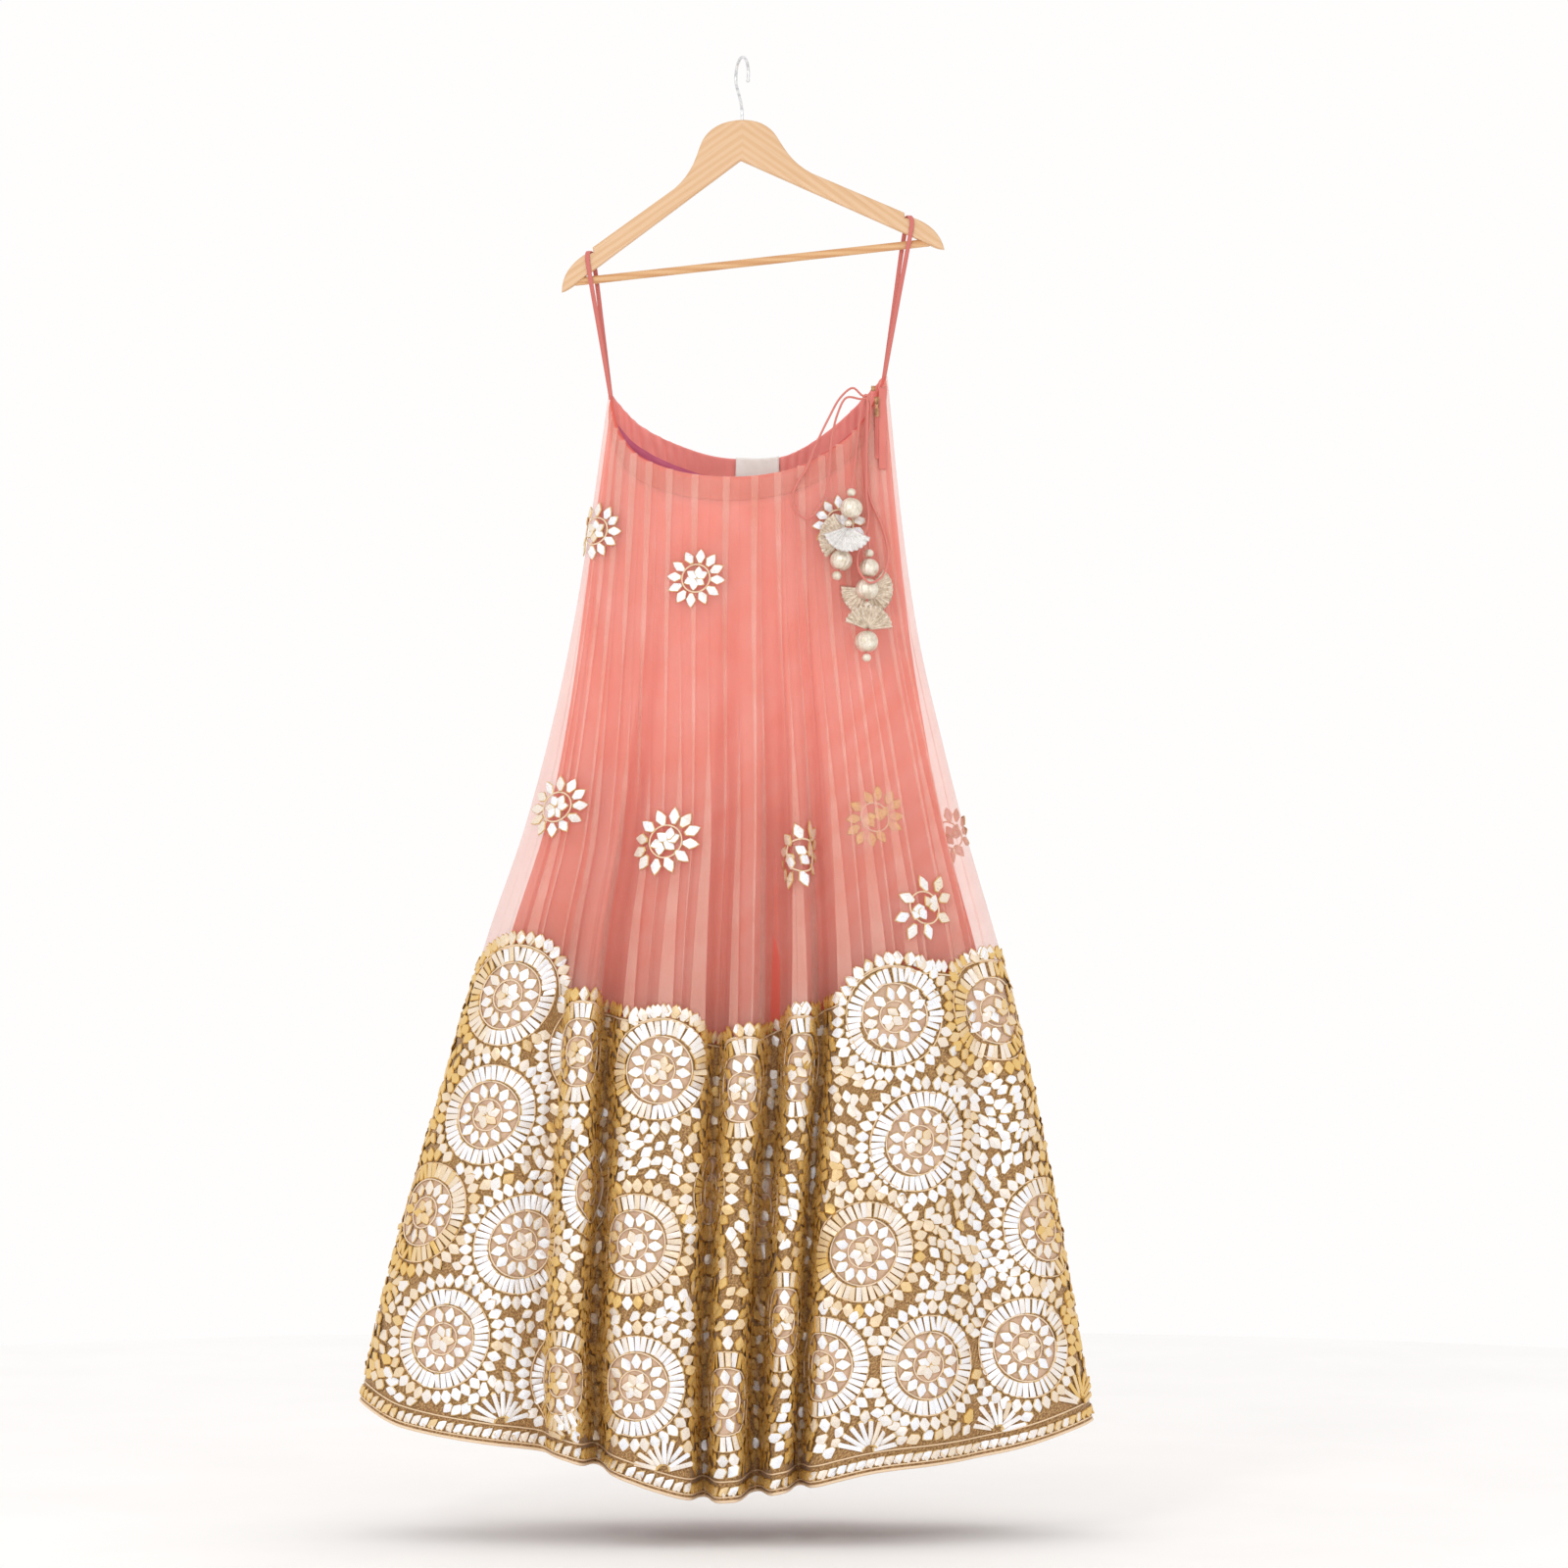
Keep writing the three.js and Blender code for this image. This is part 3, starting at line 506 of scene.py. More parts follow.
# One crepe in two copies: the back casing, seen from inside the waist, is painted much lighter than the
# front one, painted light that makes up for the shade there.
CASING_CREPE = {
    1: crepe_finish("front casing crepe", colour(226, 106, 92), colour(212, 90, 78), FINE_WEAVE),
    -1: crepe_finish("back casing crepe painted lighter", colour(250, 154, 144), colour(234, 134, 126), FINE_WEAVE),
}
NET = net_finish("peach tulle", 0.27)
UNDER_NET = net_finish("peach tulle beneath", 0.14)
MAGENTA = satin_finish("magenta lining", colour(208, 96, 128), colour(186, 70, 108))
LABEL_SATIN = satin_finish("blank label satin", colour(250, 246, 240), colour(236, 230, 222))
CORD = cord_finish("coral cord", colour(228, 136, 122), colour(198, 102, 92), 260)
RIBBON = cord_finish("coral ribbon", colour(218, 124, 114), colour(194, 98, 90), 420)
pale = Finish("pale floor", roughness=0.9)
pale_clouds = pale.noise(pale.place(), 3)
pale.paint(pale.ramp(pale_clouds, (0.3, colour(250, 249, 248)), (0.7, colour(254, 253, 252))))
floor.data.materials.append(pale.material)
print(len(bpy.data.materials), "finishes so far")

# %% [markdown]
# The camera is set, so the cords come next. Two flat ribbons hang the skirt from the notches
# of the hanger. A thin round cord is tied in a bow with long loops, and its ends carry the
# tassels. A cord is a short profile swept along a smooth path, with a frame that doesn't spin.


# %% Sweeping a profile along a path
def smooth_path(stops, per_stop=8):
    """A centripetal curve through the stops, in metres."""
    p = [Vector(s) for s in stops]
    p = [p[0] * 2 - p[1]] + p + [p[-1] * 2 - p[-2]]
    path = []
    for k in range(1, len(p) - 2):
        a, b, c, d = p[k - 1:k + 3]
        knots = [0.0]
        for one, two in ((a, b), (b, c), (c, d)):
            knots.append(knots[-1] + max((two - one).length, 1e-6) ** 0.5)
        t0, t1, t2, t3 = knots
        for step in range(per_stop):
            t = t1 + (t2 - t1) * step / per_stop
            ab = a * ((t1 - t) / (t1 - t0)) + b * ((t - t0) / (t1 - t0))
            bc = b * ((t2 - t) / (t2 - t1)) + c * ((t - t1) / (t2 - t1))
            cd = c * ((t3 - t) / (t3 - t2)) + d * ((t - t2) / (t3 - t2))
            abc = ab * ((t2 - t) / (t2 - t0)) + bc * ((t - t0) / (t2 - t0))
            bcd = bc * ((t3 - t) / (t3 - t1)) + cd * ((t - t1) / (t3 - t1))
            path.append(abc * ((t2 - t) / (t2 - t1)) + bcd * ((t - t1) / (t2 - t1)))
    path.append(p[-2])
    return path


def path_length(path):
    return sum((b - a).length for a, b in zip(path, path[1:]))


def sweep(name, path, profile, paint, across=None):
    """profile is a ring of (side, out) points. across keeps a ribbon's width one way."""
    count, sides = len(path), len(profile)
    points, ring_uv = [], []
    side = None
    travelled = 0.0
    round_steps = [0.0]
    for (a, b), (c, d) in zip(profile, profile[1:] + profile[:1]):
        round_steps.append(round_steps[-1] + math.hypot(c - a, d - b))
    for k, here in enumerate(path):
        ahead = path[min(k + 1, count - 1)] - path[max(k - 1, 0)]
        ahead.normalize()
        if across:
            side = Vector(across)
        elif side is None:
            side = ahead.orthogonal()
        side = (side - ahead * side.dot(ahead)).normalized()
        out = ahead.cross(side)
        travelled += (here - path[k - 1]).length if k else 0.0
        points += [here + side * a + out * b for a, b in profile]
        ring_uv.append(travelled)
    faces, uvs = [], []
    for k in range(count - 1):
        for j in range(sides):
            n = (j + 1) % sides
            faces.append((k * sides + j, k * sides + n, (k + 1) * sides + n, (k + 1) * sides + j))
            u0, u1 = round_steps[j], round_steps[j + 1]
            v0, v1 = ring_uv[k], ring_uv[k + 1]
            uvs += [(u0, v0), (u1, v0), (u1, v1), (u0, v1)]
    for ring, turn in ((0, -1), (count - 1, 1)):
        cap = [ring * sides + j for j in range(sides)][::turn]
        faces.append(tuple(cap))
        uvs += [(round_steps[j], ring_uv[ring]) for j in range(sides)][::turn]
    piece = mesh_object(name, [tuple(p) for p in points], faces, [paint])
    layer = piece.data.uv_layers.new(name="cloth")
    layer.data.foreach_set("uv", np.array(uvs, np.float32).ravel())
    piece.data.shade_smooth()
    return piece


def round_profile(radius, sides=10):
    turns = [2 * math.pi * k / sides for k in range(sides)]
    return [(radius * math.cos(t), radius * math.sin(t)) for t in turns]


def ribbon_profile(width, thickness):
    w, t = width / 2, thickness / 2
    return [(w, -t * 0.5), (w, t * 0.5), (w * 0.5, t), (-w * 0.5, t), (-w, t * 0.5),
            (-w, -t * 0.5), (-w * 0.5, -t), (w * 0.5, -t)]


def in_metres(points):
    return [Vector(p) * MM for p in points]


HANGER_AT = Vector((-6.5, 0, -69.4))
TILT = math.radians(6.36)


def on_hanger(x, y, z):
    """A point of the tilted hanger's own frame, in the shared frame."""
    return HANGER_AT + Vector((x * math.cos(TILT) - z * math.sin(TILT), y,
                               x * math.sin(TILT) + z * math.cos(TILT)))


# %% The two hanging ribbons
RIBBON_WIDTH, RIBBON_THICKNESS = 5, 1
NOTCH_X, NOTCH_Z, ROD_Z = 180, -130, -160
TUCKED_IN = 7
STRAND_Y = 7.3


def ribbon_strand(sign, low, notch, y):
    """One strand's stops, from the casing up to the notch."""
    out = Vector((0, y, 0))
    sway = Vector((-0.42 * sign * y, 0, 0))
    return [low + (low - notch).normalized() * TUCKED_IN + out * 0.12, low + out * 0.14,
            low.lerp(notch, 0.5) + out * 0.75 + sway * 0.6, low.lerp(notch, 0.8) + out + sway,
            notch + out + sway, on_hanger(sign * NOTCH_X, y * 0.9, NOTCH_Z) + sway * 0.7]


for name, sign, low in (("loop_left", -1, Vector((-148, 0, -375.5))),
                        ("loop_right", 1, Vector((160, 0, -353.5)))):
    notch = on_hanger(sign * NOTCH_X, 0, NOTCH_Z - 5)
    over = [on_hanger(sign * NOTCH_X, y * 0.55, NOTCH_Z + 2) for y in (-STRAND_Y, STRAND_Y)]
    front, back = [ribbon_strand(sign, low, notch, y) for y in (-STRAND_Y, STRAND_Y)]
    path = smooth_path(in_metres(front + over + back[::-1]))
    profile = ribbon_profile(RIBBON_WIDTH * MM, RIBBON_THICKNESS * MM)
    loop = sweep("hanging_" + name, path, profile, RIBBON, across=(1, 0, 0))
    finish_piece(loop, name)
    print(name, round(path_length(path), 3), "m of ribbon")

# %% The drawstring: its loops, its ends and its knot
CORD_RADIUS = 1.25
KNOT = {"x": 139, "z": -381, "radius": 4.2, "lift": 6.5, "steps": 24}
CORD_STOPS = {
    "bow_left": [(138, -380.5, 6.5), (134, -379, 6), (124, -371, 6), (110, -382, 5.5),
                 (97, -405, 4), (84, -432, 3), (72, -462, 3), (60, -482, 3), (56, -496, 3),
                 (62, -511, 4), (74, -518, 6), (88, -504, 7), (97, -470, 6), (100, -430, 4),
                 (107, -400, 6), (117, -382, 8), (134, -383.5, 7), (138, -381.5, 6.5)],
    "bow_right": [(140, -382.5, 6.5), (143, -386, 6), (143, -410, 5.4), (137, -452, 5.4),
                  (142, -492, 4), (157, -528, 3), (163, -560, 18), (156, -583, 28),
                  (142, -590, 33), (131, -578, 31), (129, -560, 24), (136, -540, 15),
                  (141, -518, 9), (139, -490, 9), (139.5, -430, 9), (140.5, -386.5, 9.5),
                  (139.5, -382, 7)],
    "end_left": [(138, -382, 6.5), (136, -386, 6), (132.5, -402, 5), (128, -440, 3),
                 (125, -466, 6), (122, -484, 14)],
    "end_right": [(139, -382.5, 6), (138.5, -387, 4), (139, -420, 2), (135, -460, 2),
                  (137, -500, 5), (140, -530, 8), (142, -552, 14)],
}


def box_centre(node):
    low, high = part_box(node)
    return (Vector(low) + Vector(high)) / 2


BEADS = {"left": [5, 12.5, 4.5, 12.5, 12.5, 5.5], "right": [5, 11, 13, 5, 11, 13, 5]}
bead_centres = {}
for end, radii in BEADS.items():
    bead_centres[end] = [box_centre("bead_%s_%d" % (end, k + 1)) for k in range(len(radii))]

cords, cord_paths = {}, {}
for name, stops in CORD_STOPS.items():
    points = in_metres([on_face(*stop) for stop in stops])
    if name.startswith("end"):
        points += bead_centres[name.split("_")[1]]
    path = smooth_path(points, 5)
    cords[name] = sweep("drawstring_" + name, path, round_profile(CORD_RADIUS * MM), CORD)
    cord_paths[name] = path
    finish_piece(cords[name], name)
    print(name, round(path_length(path), 3), "m of cord")


def make_knot():
    """Three turns of cord drawn into a ball."""
    centre = on_face(KNOT["x"], KNOT["z"], KNOT["lift"]) * MM
    reach = (KNOT["radius"] - CORD_RADIUS) * MM
    path = []
    for k in range(3 * KNOT["steps"] + 1):
        turn = 2 * math.pi * k / KNOT["steps"]
        lean = 0.9 * math.sin(turn / 3 * 2)
        ring = Vector((math.cos(turn), math.sin(turn) * math.sin(lean),
                       math.sin(turn) * math.cos(lean)))
        path.append(centre + ring * reach * (0.9 + 0.1 * math.cos(turn * 2)))
    knot = sweep("drawstring_knot", path, round_profile(CORD_RADIUS * MM), CORD)
    finish_piece(knot, "knot")
    return knot


knot = make_knot()

# %% [markdown]
# Now the cloth. The slip is a plain flared sheet of crepe. The net hangs over it in knife
# pleats that start at the waist: along each pleat three layers lie on each other, so the
# net looks paler there. A second, plain net lies beneath it in front.

# %% Casings, slip and lining
def waist_at(side):
    return lambda h: edge(WAIST[side], h, WAIST_LEVEL)


def border_at(side):
    return lambda h: edge(BORDER_TOP[side], h, BORDER_LEVEL)


def hem_at(side):
    return lambda h: smooth(HEM[side], h)


def outward(grid):
    """The level way out of a grid of points."""
    along = np.gradient(grid, axis=0)
    along[..., 2] = 0
    along /= np.maximum(np.linalg.norm(along, axis=-1, keepdims=True), 1e-9)
    return np.stack([along[..., 1], -along[..., 0], 0 * along[..., 0]], -1)


def even_shares(count):
    """Columns closer together where the sides turn."""
    turn = np.linspace(0, 1, count)
    return 0.75 * turn + 0.25 * (0.5 - 0.5 * np.cos(math.pi * turn))


for end, side in SIDES:
    top = waist_at(side)
    grid = panel_grid(slip_face, side, even_shares(321), lambda h: top(h) - 0.4,
                      lambda h: top(h) - CASING_HEIGHT, 12)
    u = arc_lengths(grid)
    down = np.linspace(0, 1, 13)[None, :]
    pucker = (np.sin(u / 2.3 + 1.2 * np.sin(u / 11)) * (0.6 + 0.4 * np.sin(u / 23 + 1))
              * np.sin(np.pi * np.clip(down * 1.05, 0, 1)) ** 0.7)
    plump = 1.6 * np.sin(np.pi * np.clip(down / 0.9, 0, 1))
    swell = 2.0 if side < 0 else 0.25
    grid = grid + outward(grid) * (pucker * swell + plump * 0.5 - 0.8)[..., None]
    casing = cloth_sheet("waist_casing_" + end, grid, CASING_CREPE[side], thickness=1.6 * MM)
    finish_piece(casing, "casing_" + end)
    print("casing", end, declare_sheet(grid))

    grid = panel_grid(slip_face, side, even_shares(241), lambda h: top(h) - CASING_HEIGHT + 1,
                      lambda h: hem_at(side)(h) + SLIP_LIFT, 90)
    u = arc_lengths(grid)
    u = u / u[-1:]
    below = np.clip((top(0.5) - CASING_HEIGHT - grid[..., 2]) / 900, 0, 1)
    ripple = np.sin(u * 23 + 0.8) + 0.6 * np.sin(u * 41 + 2) + 0.35 * np.sin(u * 71)
    soft_folds = ripple * 5 * below**1.3
    edge_fade = np.clip(np.minimum(u, 1 - u) * 12, 0, 1)
    moved = -1.5 + soft_folds * edge_fade - 4 * below * edge_fade
    grid = grid + outward(grid) * moved[..., None]
    slip = cloth_sheet("crepe_slip_" + end, grid, CREPE, thickness=0.5 * MM)
    finish_piece(slip, "slip_" + end)
    print("slip", end, declare_sheet(grid))

LINING = {"height": 110, "from": 0.08, "to": 0.92, "inside": 3.5}
LABEL = {"width": 50, "height": 24, "share": 0.535, "above": 1, "inside": 3.4}


def lining_top(h):
    return waist_at(-1)(h) - CASING_HEIGHT + 3


def label_top(h):
    return waist_at(-1)(h) + LABEL["above"]


grid = panel_grid(slip_face, -1, np.linspace(LINING["from"], LINING["to"], 161), lining_top,
                  lambda h: lining_top(h) - LINING["height"], 20)
u = arc_lengths(grid)
ripple = 0.7 * np.sin(u / 5 + 2 * np.sin(u / 40))
grid = grid - outward(grid) * (LINING["inside"] + ripple)[..., None]
lining = cloth_sheet("satin_lining_back", grid, MAGENTA, thickness=0.5 * MM)
finish_piece(lining, "lining_back")
print("lining", declare_sheet(grid))

half = LABEL["width"] / 2 / float(smooth(RIGHT_SIDE, -450) - smooth(LEFT_SIDE, -450))
label_shares = hem_share_of(LABEL["share"] + half * np.linspace(-1, 1, 21), WAIST_LEVEL)
grid = panel_grid(slip_face, -1, label_shares, label_top,
                  lambda h: label_top(h) - LABEL["height"], 10)
curl = 0.5 * np.sin(np.linspace(0, 3, 21))[:, None]
grid = grid - outward(grid) * (LABEL["inside"] + curl)[..., None]
label = cloth_sheet("blank_label", grid, LABEL_SATIN, thickness=0.5 * MM)
finish_piece(label, "label")
print("label", declare_sheet(grid))

# %% The pleated net
FIRM_PLEATS = [0.022, 0.045, 0.075, 0.11, 0.15, 0.2, 0.245, 0.295, 0.34, 0.385, 0.43, 0.475,
               0.515, 0.56, 0.61, 0.66, 0.71, 0.765, 0.82, 0.87, 0.915, 0.95]
SOFT_PLEATS = [0.175, 0.262, 0.318, 0.36, 0.41, 0.452, 0.492, 0.528, 0.572, 0.594, 0.632, 0.685,
               0.74, 0.84]
SOFT_WIDTH = [(-660, 0.3), (-760, 2), (-860, 8), (-1000, 15), (-1100, 19)]
PLEAT_WIDTH = [(-380, 9), (-470, 8), (-560, 6.5), (-700, 4), (-850, 2.4), (-1100, 1)]
PLEAT_STEP = [(-400, 0.6), (-600, 0.8), (-800, 2.0), (-1000, 3.2), (-1100, 3.4)]


def gathered_left(h, z):
    """Columns of the left half start nearer the left corner and straighten lower down."""
    crowding = 0.6 * np.clip((z + 900) / 450, 0, 1) ** 1.3
    return h * (1 - crowding * np.clip(1 - h / 0.5, 0, 1))


def pleated_grid(side, top, bottom, rows):
    """A panel whose cloth turns back under itself at each pleat. Soft pleats open lower down,
    and the others are narrower where they crowd together."""
    pleats = sorted(FIRM_PLEATS + SOFT_PLEATS)
    columns = [(h, 0.0, None) for h in even_shares(281) if all(abs(h - p) > 0.0025 for p in pleats)]
    columns += [(p, 1.0, 0.0) for p in pleats] + [(p + 1e-6, -1.0, -1.0) for p in pleats]
    columns += [(p + 2.6e-3, 0.0, -1.9) for p in pleats]
    columns = sorted(columns)
    h = np.array([c[0] for c in columns])
    over = np.array([c[1] for c in columns])
    last = np.searchsorted(pleats, h, side="right") - 1
    ends = np.array(pleats + [1.0])
    start = np.where(last >= 0, ends[np.maximum(last, 0)], -1.0)
    part = np.clip((h - start) / np.maximum(ends[last + 1] - start, 1e-6), 0, 1)
    layer = np.array([-2.0 * (1 - a) if c[2] is None else c[2] for a, c in zip(part, columns)])
    down = np.linspace(0, 1, rows + 1)
    at_top = gathered_left(h, -430 + 0 * h)
    z = top(at_top)[:, None] * (1 - down) + bottom(h)[:, None] * down
    base = gathered_left(h[:, None] + 0 * z, z)
    along = (net_face(side, np.clip(base + 2e-3, 0, 1), z)
             - net_face(side, np.clip(base - 2e-3, 0, 1), z))
    along /= np.maximum(np.linalg.norm(along, axis=-1, keepdims=True), 1e-9)
    out = np.stack([along[..., 1], -along[..., 0], 0 * z], -1) * side
    grid = net_face(side, base, z)
    across = spread(base, z)
    edge_fade = np.clip(np.minimum(across, 1 - across) * 22 - 0.3, 0, 1)
    is_soft = np.isin(np.rint(h * 1e4), np.rint(np.array(SOFT_PLEATS) * 1e4))
    wide = np.where(is_soft[:, None], smooth(SOFT_WIDTH, z), smooth(PLEAT_WIDTH, z))
    firm = np.searchsorted(h, FIRM_PLEATS)
    room = np.full(z.shape, 1e3)
    for one, two in zip(firm, firm[1:]):
        room[one:two] = np.linalg.norm(grid[two] - grid[one], axis=-1)
    wide = np.minimum(wide, 0.6 * room)
    grid = grid + along * (over[:, None] * wide / 2 * edge_fade)[..., None]
    return grid + out * (layer[:, None] * smooth(PLEAT_STEP, z) * edge_fade)[..., None]


for end, side in SIDES:
    top = waist_at(side)
    grid = pleated_grid(side, lambda h: top(h) - 0.6, lambda h: border_at(side)(h) - 8, 96)
    grid = left_to_right(grid, side)
    net = cloth_sheet("pleated_net_" + end, grid, NET)
    edges_by_angle(net)
    finish_piece(net, "net_" + end)
    print("net", end, declare_sheet(grid))

grid = panel_grid(net_face, 1, even_shares(161), lambda h: waist_at(1)(h) - 4,
                  lambda h: border_at(1)(h) - 8, 80)
inward = np.array([0, 1.0, 0]) * (2.2 + 3.5 * np.clip((-440 - grid[..., 2:]) / 300, 0, 1))
under = cloth_sheet("under_net_front", grid + inward, UNDER_NET)
edges_by_angle(under)
finish_piece(under, None)
print("under net", declare_sheet(grid))

# %% [markdown]
# The border is covered with gota work: small leaves folded from metal ribbon, silver-white
# with a gold edge, sewn down in circles. One leaf is modelled from a six-sided disc, with an
# inset rim and a raised middle. Its copies are then laid on the cloth. A layout in metres
# along the cloth, not across the picture, keeps the circles round in the folds too.

# %% Gota finishes
def gota_finish(name, cool, warm, dark, metallic, roughness):
    """Metal ribbon: silver to champagne from leaf to leaf, gold in folds as painted shade, with fine ribs
    and worn streaks.
    """
    f = Finish(name, roughness=roughness, metallic=metallic)
    where = f.place()
    # The warmth mark is random tone plus painted shade and reflection in the folds.
    tone = f.ramp(f.mask("warmth"), (0.15, cool), (0.8, warm))
    worn = f.noise(where, 900, 3)
    f.paint(f.mix(f.range(worn, 0.56, 0.8, 0, 0.6), tone, dark))
    f.bump(f.noise(f.place((1, 1, 0.3)), 1500, 2), 0.0004, 0.5)
    f.rough(where, 350, 2, roughness - 0.1, roughness + 0.14)
    return f.material


def ground_finish():
    """The cloth under the gota: peach inside the rings, gold stitching everywhere else, its dark brown
    parts painted shade between the leaves.
    """
    f = Finish("border ground", roughness=0.6, metallic=0.15, sheen=0.2)
    flat = f.place(uv=True)
    peach = f.ramp(f.noise(flat, 60, 4), (0.3, colour(196, 158, 132)), (0.7, colour(226, 196, 168)))
    # Gold stitching; its darkest stops are painted shade between the leaves.
    stitching_and_painted_shade = f.ramp(f.noise(flat, 420, 5), (0.3, colour(98, 66, 38)), (0.5, colour(160, 118, 68)),
                      (0.72, colour(222, 186, 130)))
    f.paint(f.mix(f.mask("inside"), stitching_and_painted_shade, peach))
    threads = f.noise(f.place((1, 0.4, 1), uv=True), 900, 3)
    f.bump(threads, 0.0008, 0.6)
    return f.material


GOTA_FACE = gota_finish("gota leaf face", colour(244, 246, 252), colour(228, 190, 116),
                        colour(206, 190, 170), 0.3, 0.3)
GOTA_RIM = gota_finish("gota leaf rim", colour(226, 194, 136), colour(198, 146, 58),
                       colour(150, 108, 50), 0.5, 0.36)
GOTA_CORD = gota_finish("gota cord", colour(244, 224, 200), colour(226, 186, 128),
                        colour(190, 150, 104), 0.25, 0.5)
GROUND = ground_finish()

# %% One gota leaf and one gota bar
def hand_leaf(name, shape, rim, rise, peak):
    """A leaf 1 long and 1 wide, its base at 0 and its tip at +Y, in leaf units."""
    clear_selection()
    bpy.ops.mesh.primitive_circle_add(vertices=len(shape), radius=1, fill_type="NGON")
    leaf = bpy.context.object
    leaf.name = name
    for vertex, (x, y) in zip(leaf.data.vertices, shape):
        vertex.co = (x, y, 0)
    bpy.ops.object.mode_set(mode="EDIT")
    bpy.ops.mesh.select_all(action="SELECT")
    bpy.ops.mesh.inset(thickness=rim, depth=rise)
    bpy.ops.mesh.poke(offset=peak)
    bpy.ops.mesh.select_all(action="SELECT")
    bpy.ops.mesh.normals_make_consistent(inside=False)
    bpy.ops.mesh.quads_convert_to_tris()
    bpy.ops.object.mode_set(mode="OBJECT")
    mesh = leaf.data
    points = np.array([v.co[:] for v in mesh.vertices])
    faces = np.array([p.vertices[:] for p in mesh.polygons])
    if mesh.polygons[0].normal.z < 0:
        faces = faces[:, ::-1]
    edge_faces = (points[faces][:, :, 2] < 1e-6).any(1)
    bpy.data.objects.remove(leaf)
    return points, faces, edge_faces


KITE = [(-0.16, 0), (0.16, 0), (0.5, 0.44), (0.28, 0.77), (0, 1), (-0.28, 0.77), (-0.5, 0.44)]
DROP = [(-0.18, 0), (0.18, 0), (0.5, 0.62), (0.22, 0.95), (-0.22, 0.95), (-0.5, 0.62)]
BAR = [(-0.42, 0), (0.42, 0), (0.5, 0.94), (0, 1), (-0.5, 0.94)]
LEAVES = {
    "kite": hand_leaf("kite", KITE, 0.06, 0.16, 0.12),
    "drop": hand_leaf("drop", DROP, 0.06, 0.16, 0.1),
    "bar": hand_leaf("bar", BAR, 0.06, 0.14, 0.08),
}
for name, (points, faces, edge_faces) in LEAVES.items():
    print(name, len(faces), "triangles,", int(edge_faces.sum()), "of them rim")

# %% Measuring along the cloth
LEVEL_STEP = 2.5
LEVELS = np.arange(-1640, -480, LEVEL_STEP)
COLUMNS = 1600
SHARES = np.linspace(0, 1, COLUMNS + 1)
ALONG = {}
for side in (1, -1):
    rows = []
    for z in LEVELS:
        line = net_face(side, SHARES, z)
        steps = np.linalg.norm(np.diff(line, axis=0), axis=1)
        rows.append(np.concatenate([[0], np.cumsum(steps)]))
    ALONG[side] = np.array(rows)


def level_index(z):
    return np.clip(np.rint((np.asarray(z) - LEVELS[0]) / LEVEL_STEP).astype(int), 0, len(LEVELS) - 1)


def along_at(side, h, z):
    """How far along the cloth the column h lies at height z."""
    h, z = np.broadcast_arrays(np.asarray(h, float), np.asarray(z, float))
    spot = np.clip(h * COLUMNS, 0, COLUMNS - 0.001)
    i = spot.astype(int)
    rows = ALONG[side][level_index(z)].reshape(-1, COLUMNS + 1)
    flat = np.arange(rows.shape[0])
    i_flat, part = i.ravel(), (spot - i).ravel()
    return (rows[flat, i_flat] * (1 - part) + rows[flat, i_flat + 1] * part).reshape(h.shape)


def share_at(side, a, z):
    """The column that lies at distance a along the cloth at height z."""
    a, z = np.broadcast_arrays(np.asarray(a, float), np.asarray(z, float))
    result = np.empty(a.size)
    index = level_index(z).ravel()
    a_flat = a.ravel()
    for level in np.unique(index):
        here = index == level
        result[here] = np.interp(a_flat[here], ALONG[side][level], SHARES)
    return result.reshape(a.shape)


def cloth_frame(side, a, z):
    """Point, way along, way up and way out of the border's cloth, at distance a and height z."""
    h = share_at(side, a, z)
    point = net_face(side, h, z)
    right = (net_face(side, np.clip(h + 4e-4, 0, 1), z)
             - net_face(side, np.clip(h - 4e-4, 0, 1), z))
    right /= np.maximum(np.linalg.norm(right, axis=-1, keepdims=True), 1e-9)
    up = net_face(side, h, z + 2) - net_face(side, h, z - 2)
    up -= right * (up * right).sum(-1, keepdims=True)
    up /= np.linalg.norm(up, axis=-1, keepdims=True)
    return point, right, up, np.cross(right, up) * side


print("the hem is", round(sum(float(ALONG[s][level_index(-1620), -1]) for s in (1, -1))), "mm round")

# %% Where the gota circles lie
CIRCLE = 56
FRONT_CIRCLES = [(-261, -1050), (-283, -1182), (-354, -1292), (-332, -1430), (-244, -1325),
                 (170, -1072), (284, -1067), (196, -1210), (278, -1199), (135, -1331),
                 (207, -1457), (317, -1441), (97, -1221), (339, -1309), (86, -1457)]
TOP_ROW = {1: [0.292, 0.405, 0.507, 0.574, 0.645],
           -1: [0.06, 0.19, 0.31, 0.44, 0.52, 0.62, 0.7, 0.81, 0.93]}
NEAREST = 2.34 * CIRCLE


def cloth_gap(side, one, other):
    """How far apart two places (share, height) lie on the cloth."""
    middle = (one[1] + other[1]) / 2
    across = along_at(side, one[0], middle) - along_at(side, other[0], middle)
    return math.hypot(float(across), one[1] - other[1])


def lay_circles(side):
    circles = []

    def offer(h, z, nearest=NEAREST):
        if all(cloth_gap(side, (h, z), other) > nearest for other in circles):
            circles.append((h, z))

    if side > 0:
        for x, z in FRONT_CIRCLES:
            offer(float(hem_share_of(width_share(x, z), z)), z, 0.8 * NEAREST)
    for h in TOP_ROW[side]:
        offer(h, float(border_at(side)(h)) - CIRCLE - 10, 0.86 * NEAREST)
    for _ in range(900):
        h = draw.uniform(0.02, 0.98)
        low = float(hem_at(side)(h)) + CIRCLE + 28
        high = float(border_at(side)(h)) - CIRCLE - 12
        offer(h, low + (high - low) * draw.uniform())
    return circles


CIRCLES = {side: lay_circles(side) for side in (1, -1)}
print("gota circles:", len(CIRCLES[1]), "in front,", len(CIRCLES[-1]), "behind")


